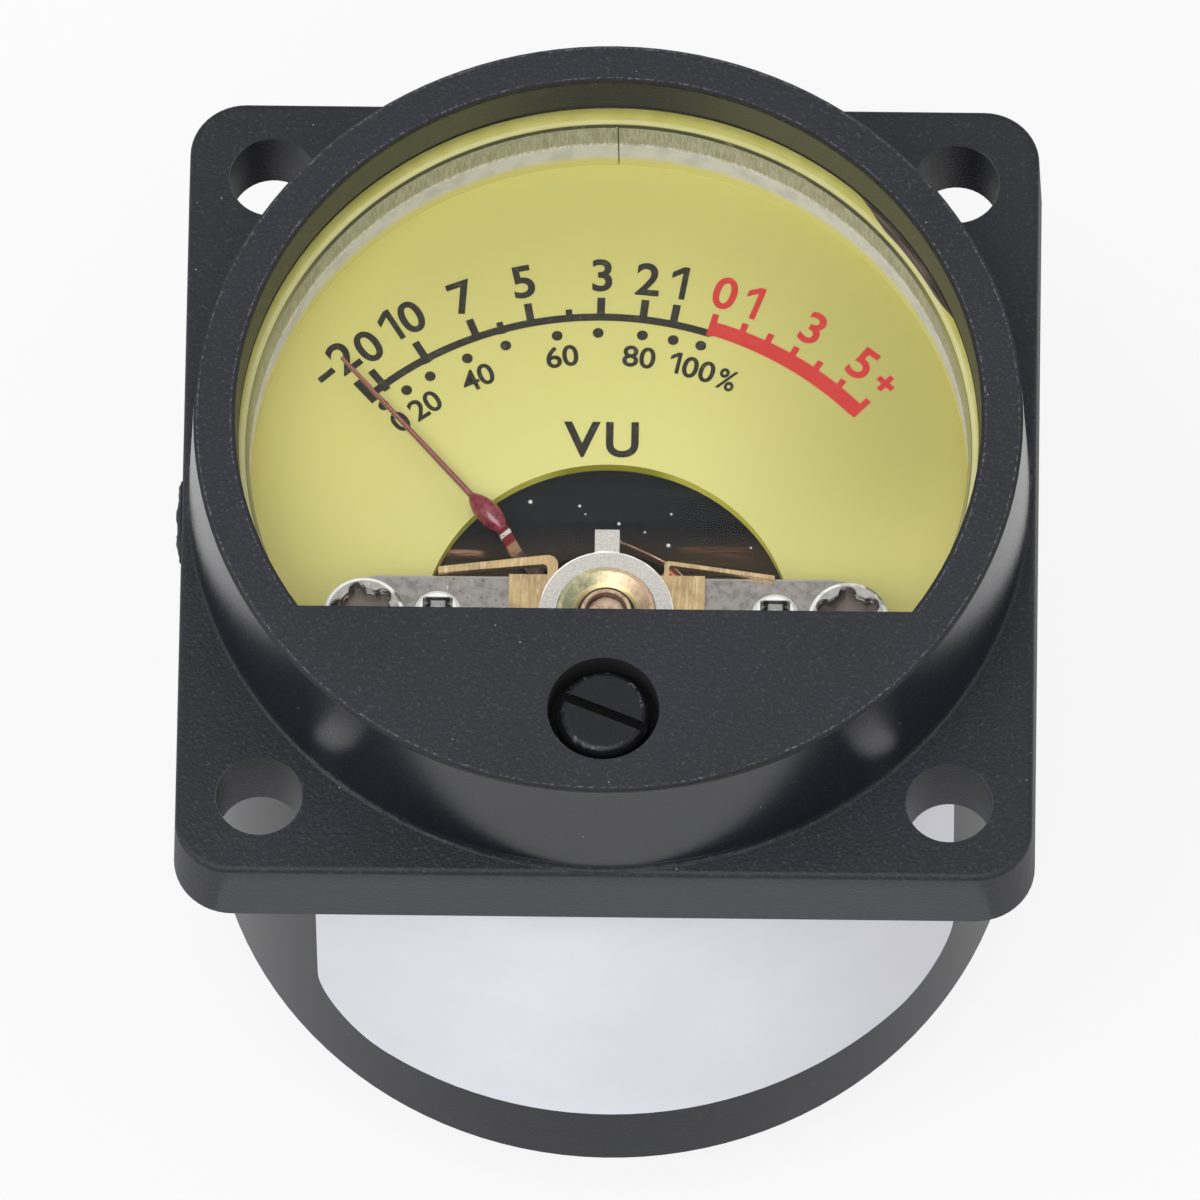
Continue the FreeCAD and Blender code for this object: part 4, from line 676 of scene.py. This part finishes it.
def printing_ink(name, tone, worn):
    """Screen-printed ink, thinner and lighter in places."""
    f = Finish(name)
    film = f.cloud(0.22, 3.0, 0.7)
    colour = f.mix(f.ramp(film, 0.52, 0.72) * 0.8, tone, worn)
    normal = f.relief(film, 0.004, 0.5)
    return f.surface(colour, 0.46 + 0.12 * film, normal, Specular_IOR_Level=0.15)


def settled_dust(name):
    """Pale lint."""
    f = Finish(name)
    lint = f.cloud(0.08, 2.0)
    colour = f.mix(lint, (0.62, 0.62, 0.60), (0.95, 0.95, 0.93))
    return f.surface(colour, 0.7 + 0.1 * lint, f.relief(lint, 0.02))


COVER_BLACK = cover_moulding("cover_black")
BARREL_BLACK = plain_moulding("barrel_black", sheen=0.34, grain=0.12, gloss=0.14)
SCREW_BLACK = screw_moulding("screw_black")
NICKEL = plated_steel("nickel_plate")
ZINC = plated_steel("zinc_plate", tone=(0.50, 0.50, 0.48), sheen=0.32)
BRASS = rolled_brass("rolled_brass")
BRONZE = thin_bronze("thin_bronze")
SOLDERED_TIN = plated_steel("soldered_tin", tone=(0.56, 0.54, 0.48), sheen=0.30, scuffs=0.3)
ALUMINIUM = satin_aluminium("satin_aluminium")
BLACK_INK = printing_ink("black_ink", (0.026, 0.024, 0.017), (0.100, 0.092, 0.060))
RED_INK = printing_ink("red_ink", (0.520, 0.040, 0.036), (0.600, 0.085, 0.060))
DUST = settled_dust("settled_dust")

FINISHES = {
    "front_cover": COVER_BLACK,
    "housing": BARREL_BLACK,
    "zero_screw": SCREW_BLACK,
    "lens": clear_window("clear_window"),
    "lens_spacer_ring": yellow_translucent("yellow_translucent"),
    "reflector_strip": brushed_strip("brushed_strip"),
    "dial_plate": dial_face("dial_face"),
    "rating_label": label_paper("label_paper"),
    "frame_plate": dark_steel("dark_steel"),
    "frame_pillars": ZINC,
    "rear_screws": ZINC,
    "yoke_ring": dull_iron("yoke_iron", (0.16, 0.16, 0.17)),
    "yoke_screws": ZINC,
    "core_magnet": dull_iron("core_alloy", (0.22, 0.22, 0.22)),
    "core_carriers": BRASS,
    "bridge_bar": bar_steel("bar_steel"),
    "bridge_spacers": BRASS,
    "bridge_screws": screw_steel("screw_steel"),
    "bar_rivets": rivet_steel("rivet_steel"),
    "stop_plate": BRASS,
    "lever_bush": bush_brass("bush_brass"),
    "top_jewel_screw": jewel_brass("jewel_brass"),
    "zero_lever": satin_aluminium("lever_aluminium", rim=LEVER_R),
    "coil_former": ALUMINIUM,
    "coil_winding": wound_copper("wound_copper"),
    "top_pivot": ZINC,
    "bottom_pivot": ZINC,
    "top_hairspring": BRONZE,
    "bottom_hairspring": BRONZE,
    "pointer_arm": arm_brass("arm_brass"),
    "balance_weight": SOLDERED_TIN,
    "pointer": red_lacquer("red_lacquer"),
    "lower_bridge": NICKEL,
    "lower_bridge_screws": ZINC,
    "lower_jewel_screw": BRASS,
    "meter_lugs": SOLDERED_TIN,
    "lamp_lugs": SOLDERED_TIN,
    "rectifier_board": board_laminate("board_laminate"),
    "rectifier_diodes": sleeved_wire("diode_glass", (0.46, 0.13, 0.04)),
    "coil_leads": sleeved_wire("red_sleeve", (0.32, 0.03, 0.03)),
    "lamp_leads": sleeved_wire("grey_sleeve", (0.20, 0.20, 0.21)),
    "lamp_bulb": clear_bulb("clear_bulb"),
    "lamp_caps": SOLDERED_TIN,
    "lamp_bracket": ALUMINIUM,
}


# ---------------------------------------------------------------- pieces

def made_object(name, shape, finish):
    """Makes the bmesh an object of the scene, and frees the bmesh."""
    mesh = bpy.data.meshes.new(name)
    shape.to_mesh(mesh)
    shape.free()
    mesh.materials.append(finish)
    made = bpy.data.objects.new(name, mesh)
    bpy.context.scene.collection.objects.link(made)
    return made


def new_piece(name, shape, body, finish):
    """Makes the bmesh a piece that rides on a body, where one is given."""
    piece = made_object(name, shape, finish)
    if body:
        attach(piece, body)
    return piece


def add_shape(shape, part, place):
    """Adds a part to a shape at a place, and frees the part."""
    mesh = bpy.data.meshes.new("part")
    part.to_mesh(mesh)
    part.free()
    mesh.transform(place)
    shape.from_mesh(mesh)
    bpy.data.meshes.remove(mesh)


def drawn_out(shape, inside, reach):
    """Extrudes the edges whose ends all lie inside, and moves the new edges by the reach."""
    edges = [edge for edge in shape.edges if all(inside(end.co) for end in edge.verts)]
    drawn = bmesh.ops.extrude_edge_only(shape, edges=edges)["geom"]
    corners = [part for part in drawn if isinstance(part, bmesh.types.BMVert)]
    bmesh.ops.translate(shape, verts=corners, vec=reach)


def sized(centre, size):
    """Matrix that gives a shape its place and its size along each axis, both in mm."""
    return Matrix.Translation(Vector(centre) * MM) @ Matrix.Diagonal((*(Vector(size) * MM), 1))


# ---------------------------------------------------------------- dial print, in mm on the dial

# Heights of the ink and of the ticks over the dial
INK_LIFT = 0.012
TICK_LIFT = 0.016

# Widening and boldness: of the large figures, of the small ones, and of characters that differ
FIGURE_CUT = (1.03, 0.021)
PERCENT_CUT = (1.05, 0.019)
OTHER_CUTS = {"%": (0.88, 0.019), "4": (1.08, 0.010), "V": (1.02, 0.024), "U": (0.97, 0.024)}


def on_dial(x, y, turn=0.0, lift=INK_LIFT):
    """Place on the dial's ink, turned clockwise by a dial angle."""
    place = Matrix.Translation(Vector((x, y, DIAL_TOP + lift)) * MM)
    return place @ Matrix.Rotation(-math.radians(turn), 4, "Z")


def dial_angle(x, y):
    """Dial angle at which a place lies from the pivot."""
    return math.degrees(math.atan2(x, y - PIVOT_Y))


def reach_to(circle, turn):
    """Distance from the pivot, at an angle in radians, to a circle given as X, Y and radius."""
    x, y, radius = circle
    rise = y - PIVOT_Y
    along_ray = x * math.sin(turn) + rise * math.cos(turn)
    return along_ray + math.sqrt(radius ** 2 - x ** 2 - rise ** 2 + along_ray ** 2)


def printed_band(shape, low, high, start, end, lift=INK_LIFT):
    """Curved band between two circles, from one dial angle to another."""
    near, far = 1, 2
    part = bmesh.new()
    corners = [part.verts.new((0, radius, 0)) for radius in (near, far)]
    bmesh.ops.transform(part, matrix=Matrix.Rotation(-math.radians(start), 3, "Z"), verts=corners)
    bmesh.ops.spin(part, geom=corners + [part.edges.new(corners)], cent=(0, 0, 0), axis=(0, 0, -1),
                   angle=math.radians(end - start), steps=int(end - start) + 2)
    for corner in part.verts:
        circle = low if corner.co.length < (near + far) / 2 else high
        turn = math.atan2(corner.co.x, corner.co.y)
        corner.co = corner.co.normalized() * reach_to(circle, turn) * MM
    add_shape(shape, part, on_dial(0, PIVOT_Y, lift=lift))


def printed_bar(shape, start, end, width):
    """Straight printed stroke between two points."""
    run = Vector(end) - Vector(start)
    middle = (Vector(end) + Vector(start)) / 2
    place = on_dial(middle.x, middle.y, math.degrees(math.atan2(run.x, run.y)), TICK_LIFT)
    size = Matrix.Diagonal((width * MM, run.length * MM, 1, 1))
    bmesh.ops.create_grid(shape, x_segments=1, y_segments=1, size=0.5, matrix=place @ size)


def printed_dot(shape, x, y, radius):
    """Round printed dot."""
    place = on_dial(x, y)
    bmesh.ops.create_circle(shape, cap_ends=True, segments=20, radius=radius * MM, matrix=place)


def glyph(character, bolder):
    """Flat mesh of one character, centred on the origin with a height of 1."""
    text = bpy.data.curves.new("glyph", "FONT")
    text.body = character
    text.resolution_u = 6
    text.offset = bolder
    holder = bpy.data.objects.new("glyph", text)
    mesh = bpy.data.meshes.new_from_object(holder)
    bpy.data.objects.remove(holder)
    corners = [vertex.co for vertex in mesh.vertices]
    low = Vector([min(corner[axis] for corner in corners) for axis in range(3)])
    high = Vector([max(corner[axis] for corner in corners) for axis in range(3)])
    height = high.y - low.y
    to_middle = Matrix.Translation(-(low + high) / 2)
    mesh.transform(Matrix.Diagonal((1 / height, 1 / height, 1, 1)) @ to_middle)
    return mesh


def printed_glyph(shape, character, x, y, height, turn, cut=FIGURE_CUT):
    """One character centred on a place of the dial."""
    if character == "1":
        flagged_one(shape, x, y, height, turn)
        return
    widen, bolder = OTHER_CUTS.get(character, cut)
    mesh = glyph(character, bolder)
    mesh.transform(on_dial(x, y, turn) @ Matrix.Diagonal((widen * height * MM, height * MM, 1, 1)))
    shape.from_mesh(mesh)
    bpy.data.meshes.remove(mesh)


def flagged_one(shape, x, y, height, turn):
    """Upright stroke with a flag drawn out of its side near the top."""
    stroke = 0.165 * height
    shift = 0.09 * height
    flag = (-1.75, -0.20, 0)
    part = bmesh.new()
    bmesh.ops.create_grid(part, x_segments=1, y_segments=5, size=0.5)
    drawn_out(part, lambda spot: spot.x < 0 and spot.y > 0.25, flag)
    add_shape(shape, part, on_dial(x, y, turn) @ sized((shift, 0, 0), (stroke, height, 1)))


def printed_plus(shape, x, y, length, width):
    """Cross: a bar whose middle is drawn out up and down."""
    part = bmesh.new()
    bmesh.ops.create_grid(part, x_segments=3, y_segments=1, size=0.5)
    middle = [corner for corner in part.verts if abs(corner.co.x) < 0.4]
    bmesh.ops.scale(part, vec=(3 * width / length, 1, 1), verts=middle)
    arm = (length - width) / 2 / width
    for side in (-1, 1):
        drawn_out(part, lambda spot: abs(spot.x) < 0.4 and 0 < side * spot.y < 0.6,
                  (0, side * arm, 0))
    size = Matrix.Diagonal((length * MM, width * MM, 1, 1))
    add_shape(shape, part, on_dial(x, y, dial_angle(x, y)) @ size)


def printed_figures(shape, figures, height, cut=FIGURE_CUT):
    """Figures that stand upright from the pivot."""
    for figure, x, y in figures:
        printed_glyph(shape, figure, x, y, height, dial_angle(x, y), cut)


# Ticks: X and Y of the outer and of the inner end
BLACK_TICKS = [
    ((-9.80, 5.12), (-9.10, 4.25)), ((-8.02, 6.42), (-7.46, 5.50)), ((-5.83, 7.48), (-5.45, 6.55)),
    ((-4.61, 7.38), (-4.44, 6.85)), ((-3.46, 8.24), (-3.28, 7.25)), ((-1.78, 7.99), (-1.72, 7.50)),
    ((-0.45, 8.54), (-0.46, 7.60)), ((1.36, 8.46), (1.25, 7.50)), ((2.65, 8.25), (2.48, 7.30)),
]
RED_TICKS = [
    ((4.25, 7.84), (3.98, 6.85)), ((5.46, 7.43), (5.28, 6.90)), ((6.52, 6.96), (6.26, 6.40)),
    ((7.57, 6.39), (7.26, 5.80)), ((8.56, 5.74), (8.12, 5.06)), ((9.50, 4.92), (8.98, 4.21)),
    ((10.52, 4.02), (9.84, 3.30)),
]

# Dots: X and Y
PERCENT_DOTS = [
    (-9.25, 3.55), (-8.33, 4.25), (-7.38, 4.89), (-5.88, 5.72), (-4.32, 6.32), (-2.23, 6.79),
    (-0.56, 6.94), (1.25, 6.85), (2.51, 6.65), (3.64, 6.41),
]

# Figures: X and Y of the middle
LEVEL_FIGURES = [
    ("2", -10.96, 5.72), ("0", -9.93, 6.22), ("1", -9.00, 7.16), ("0", -8.20, 7.58),
    ("7", -6.12, 8.49), ("5", -3.66, 9.22), ("3", -0.43, 9.56), ("2", 1.45, 9.40), ("1", 2.80, 9.25),
]
OVER_FIGURES = [("0", 4.61, 8.80), ("1", 5.82, 8.38), ("3", 8.22, 7.24), ("5", 10.26, 5.66)]
PERCENT_FIGURES = [
    ("0", -8.56, 2.83), ("2", -7.84, 3.38), ("0", -7.28, 3.76), ("4", -5.74, 4.69),
    ("0", -5.12, 5.02), ("6", -2.36, 5.80), ("0", -1.68, 5.90), ("8", 0.78, 5.90), ("0", 1.47, 5.82),
    ("1", 2.66, 5.62), ("0", 3.23, 5.42), ("0", 3.90, 5.22), ("%", 4.72, 4.87),
]
LETTERS = [("V", -1.14, 2.10), ("U", 0.50, 2.10)]
FIGURE_HEIGHT = 1.48
PERCENT_HEIGHT = 0.97
LETTER_HEIGHT = 1.61

# Ends of the minus sign; place, length and width of the plus sign
MINUS_SIGN = ((-11.90, 4.62), (-11.32, 5.15))
PLUS_SIGN = (11.20, 4.78, 0.80, 0.24)

# Widths of the ticks, the length from which a black tick is wide, and the radius of the dots
WIDE_TICK = 0.32
NARROW_TICK = 0.27
WIDE_FROM = 0.8
DOT_R = 0.225

# Dial angles where the scale starts, its first block ends, black turns to red, and the scale ends
SCALE_START = -41.8
BLOCK_END = -40.2
RED_START = 15.8
SCALE_END = 42.7

# Lower and upper circle of each band: X, Y and radius
BLACK_ARC = ((-0.384, -6.292, 13.79), (-0.384, -6.292, 14.12))
START_BLOCK = ((0, PIVOT_Y, 14.60), (0, PIVOT_Y, 15.78))
RED_BAND = ((-0.363, -6.606, 14.196), (0.228, -5.70, 13.779))


def black_print():
    """Arc, ticks, dots and figures of the black scale, and the letters below it."""
    shape = bmesh.new()
    printed_band(shape, *BLACK_ARC, SCALE_START, RED_START)
    printed_band(shape, *START_BLOCK, SCALE_START, BLOCK_END, TICK_LIFT)
    for outer, inner in BLACK_TICKS:
        wide = math.dist(outer, inner) > WIDE_FROM
        printed_bar(shape, inner, outer, WIDE_TICK if wide else NARROW_TICK)
    for x, y in PERCENT_DOTS:
        printed_dot(shape, x, y, DOT_R)
    printed_figures(shape, LEVEL_FIGURES, FIGURE_HEIGHT)
    printed_figures(shape, PERCENT_FIGURES, PERCENT_HEIGHT, PERCENT_CUT)
    for letter, x, y in LETTERS:
        printed_glyph(shape, letter, x, y, LETTER_HEIGHT, 0.0)
    printed_bar(shape, *MINUS_SIGN, NARROW_TICK)
    new_piece("dial_print_black", shape, "case", BLACK_INK)


def red_print():
    """Red band with its ticks and figures."""
    shape = bmesh.new()
    printed_band(shape, *RED_BAND, RED_START, SCALE_END)
    for outer, inner in RED_TICKS:
        printed_bar(shape, inner, outer, NARROW_TICK)
    printed_figures(shape, OVER_FIGURES, FIGURE_HEIGHT)
    printed_plus(shape, *PLUS_SIGN)
    new_piece("dial_print_red", shape, "case", RED_INK)


# ---------------------------------------------------------------- hairspring and small pieces

# Hairspring in mm; its turns are clockwise degrees from its outer end at the zero lever's tab
SPRING_TURNS = 360 * 5.2
SPRING_STEP = 4.0
SPRING_HEIGHT = 0.17
SPRING_THICKNESS = 0.06
SPRING_END_R = 3.80
SPRING_RADII = [(0, SPRING_END_R), (45, 4.10), (80, 4.15), (140, 3.70), (SPRING_TURNS, 0.90)]
SPRING_LIFTS = [
    (0, 6.00), (8, 5.92), (20, 5.42), (30, 5.22), (40, 5.20), (50, 5.10), (57, 4.97), (90, 4.93),
    (SPRING_TURNS, 4.56),
]
SPRING_CUT = 5.04


def at_turn(turn, stops):
    """Value at a turn between stops."""
    for (start, low), (end, high) in zip(stops, stops[1:]):
        if turn <= end:
            return low + (high - low) * (turn - start) / (end - start)
    return stops[-1][1]


def smooth(shape):
    """Shades every face smooth."""
    for face in shape.faces:
        face.smooth = True


def balance_spring():
    """Flat strip wound round the pivot, its outer end lifted to the zero lever's tab."""
    shape = bmesh.new()
    ends = [shape.verts.new((0, 1, lift)) for lift in (-0.5, 0.5)]
    steps = int(SPRING_TURNS / SPRING_STEP)
    # The spin first lifts each step by a storey, so that a corner's height tells its step
    storey = 10.0
    bmesh.ops.spin(shape, geom=ends + [shape.edges.new(ends)], cent=(0, 0, 0), axis=(0, 0, -1),
                   dvec=(0, 0, storey), angle=math.radians(SPRING_STEP * steps), steps=steps)
    for corner in shape.verts:
        step = round(corner.co.z / storey)
        turn = step * SPRING_STEP
        radius = at_turn(turn, SPRING_RADII)
        lift = at_turn(turn, SPRING_LIFTS) + (corner.co.z - storey * step) * SPRING_HEIGHT
        corner.co = Vector((corner.co.x * radius, corner.co.y * radius + PIVOT_Y, lift)) * MM
    bmesh.ops.recalc_face_normals(shape, faces=shape.faces)
    bmesh.ops.solidify(shape, geom=shape.faces[:], thickness=SPRING_THICKNESS * MM)
    smooth(shape)
    return shape


def spring_piece(name, tail):
    """The tail above the cut, or the coil below it, as a closed piece of its own."""
    shape = balance_spring()
    whole = shape.verts[:] + shape.edges[:] + shape.faces[:]
    cut = bmesh.ops.bisect_plane(shape, geom=whole, dist=0.0001 * MM, plane_co=(0, 0, SPRING_CUT * MM),
                                 plane_no=(0, 0, 1), clear_outer=not tail, clear_inner=tail)
    open_edges = [part for part in cut["geom_cut"] if isinstance(part, bmesh.types.BMEdge)]
    bmesh.ops.holes_fill(shape, edges=open_edges)
    piece = new_piece(name, shape, None, BRONZE)
    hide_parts("top_hairspring")
    return piece


def hairspring():
    """The coil below the cut and the tail above it, as two pieces with their places baked in."""
    coil = spring_piece("balance_spring", tail=False)
    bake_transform(coil)
    tail = spring_piece("spring_tail", tail=True)
    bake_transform(tail)


def solder_spot():
    """Small bead that holds the hairspring's end on the tab."""
    shape = bmesh.new()
    bmesh.ops.create_icosphere(shape, subdivisions=3, radius=1.0)
    for corner in shape.verts:
        corner.co += corner.normal * 0.12 * math.sin(5 * corner.co.x + 3 * corner.co.z)
    place = sized((0.42, PIVOT_Y + SPRING_END_R, 5.98), (0.17, 0.11, 0.15))
    bmesh.ops.transform(shape, matrix=place, verts=shape.verts)
    smooth(shape)
    new_piece("spring_solder", shape, "zero_lever", SOLDERED_TIN)


# Dust on the plate: X, Y and radius in mm
DUST_SPECKS = [
    (-3.21, -0.49, 0.085), (-1.20, -0.65, 0.060), (-0.96, -1.02, 0.035), (2.54, -0.98, 0.050),
    (0.41, -1.44, 0.070), (1.47, -1.81, 0.050), (2.44, -2.40, 0.085), (5.80, -2.46, 0.045),
]


def plate_dust():
    """Specks that have settled on the plate."""
    shape = bmesh.new()
    for x, y, radius in DUST_SPECKS:
        place = Matrix.Translation(Vector((x, y, PLATE_TOP)) * MM)
        bmesh.ops.create_icosphere(shape, subdivisions=2, radius=radius * MM, matrix=place)
    new_piece("plate_dust", shape, "case", DUST)


def gate_vestige():
    """Rough edge left on the flange's left side where the moulding was broken from its gate."""
    shape = bmesh.new()
    bmesh.ops.create_icosphere(shape, subdivisions=4, radius=1.0)
    for corner in shape.verts:
        y, z = corner.co.y, corner.co.z
        corner.co.x *= 0.70 + 0.16 * math.sin(9 * y + 2 * z) + 0.14 * math.sin(31 * y + 7 * z)
    place = sized((0.06 - FLANGE_HALF, -1.15, 2.6), (0.24, 1.85, 0.70))
    bmesh.ops.transform(shape, matrix=place, verts=shape.verts)
    new_piece("gate_vestige", shape, "case", COVER_BLACK)


def seated_ring():
    """The yellow ring with its upper face a hair below the window that lies on it."""
    gap = 0.01
    shape = bmesh.new()
    shape.from_mesh(NODES["lens_spacer_ring"].data)
    bmesh.ops.remove_doubles(shape, verts=shape.verts, dist=0.001 * MM)
    upper = [corner for corner in shape.verts if corner.co.z > (RING_TOP - 0.07) * MM]
    bmesh.ops.translate(shape, verts=upper, vec=(0, 0, -gap * MM))
    finish = FINISHES["lens_spacer_ring"]
    piece = new_piece("spacer_ring", shape, "case", finish)
    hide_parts("lens_spacer_ring")


def seam_burr():
    """Burr that half closes the strip's butt seam."""
    shape = bmesh.new()
    place = sized((0.115, STRIP_R - 0.07, 5.72), (0.07, 0.08, 3.3))
    bmesh.ops.create_cube(shape, size=1.0, matrix=place)
    new_piece("seam_burr", shape, "case", FINISHES["reflector_strip"])


# ---------------------------------------------------------------- floor, light and camera

# Lamps: name, place and side in mm, power in watts
LAMPS = [
    ("lamp_front", (-140, -330, 800), 600, 6.6),
    ("lamp_back", (40, 430, 830), 700, 1.1),
    ("lamp_left", (-620, -200, 260), 420, 1.6),
    ("lamp_right", (620, -200, 260), 420, 1.3),
]


def pale_floor():
    """Wide pale floor that shows almost white to the camera and keeps a soft shadow."""
    f = Finish("pale_floor")
    direct = f.node("ShaderNodeLightPath", output="Is Camera Ray")
    mirrored = f.node("ShaderNodeLightPath", output="Is Glossy Ray")
    bent = f.node("ShaderNodeLightPath", output="Is Transmission Ray")
    cloth = f.node("ShaderNodeBsdfDiffuse", inputs={"Color": (0.55, 0.55, 0.55, 1)})
    white = f.node("ShaderNodeEmission", inputs={"Color": WHITE, "Strength": 1.0})
    share = (direct + mirrored + bent) * 0.86
    finish = f.close(f.node("ShaderNodeMixShader", inputs={0: share, 1: cloth, 2: white}))
    half_width = 3.0
    shape = bmesh.new()
    bmesh.ops.create_grid(shape, x_segments=1, y_segments=1, size=half_width,
                          matrix=Matrix.Translation((0, 0, BENCH_Z * MM)))
    made_object("floor", shape, finish)


def pale_world():
    """Even light from all round."""
    world = bpy.data.worlds.new("pale_surroundings")
    bpy.context.scene.world = world
    world.use_nodes = True
    background = world.node_tree.nodes["Background"]
    background.inputs["Color"].default_value = WHITE
    background.inputs["Strength"].default_value = 0.5


def soft_lamp(name, place, side, power):
    """Square soft light that faces the meter."""
    lamp = bpy.data.lights.new(name, "AREA")
    lamp.size = side * MM
    lamp.energy = power
    holder = bpy.data.objects.new(name, lamp)
    spot = Vector(place) * MM
    facing = spot.to_track_quat("Z", "Y").to_matrix().to_4x4()
    holder.matrix_world = Matrix.Translation(spot) @ facing
    bpy.context.scene.collection.objects.link(holder)


def camera():
    """Long lens above the lower edge of the face."""
    place = Vector((16.6145, -574.0301, 1188.7879)) * MM
    across = Vector((0.99986069, 0.01515378, -0.00699796))
    up = Vector((-0.01063054, 0.90135159, 0.43295763))
    facing = Matrix((across, up, across.cross(up))).transposed().to_4x4()
    lens = bpy.data.cameras.new("camera")
    lens.lens = 969.63
    lens.sensor_width = 36
    lens.clip_start = 0.1
    lens.clip_end = 10
    holder = bpy.data.objects.new("camera", lens)
    holder.matrix_world = Matrix.Translation(place) @ facing
    bpy.context.scene.collection.objects.link(holder)
    bpy.context.scene.camera = holder


# ---------------------------------------------------------------- the dressed meter

for name, finish in FINISHES.items():
    NODES[name].data.materials.clear()
    NODES[name].data.materials.append(finish)
black_print()
red_print()
hairspring()
solder_spot()
plate_dust()
gate_vestige()
seated_ring()
seam_burr()
pale_floor()
pale_world()
for lamp in LAMPS:
    soft_lamp(*lamp)
camera()
bpy.context.scene.view_settings.view_transform = "Standard"
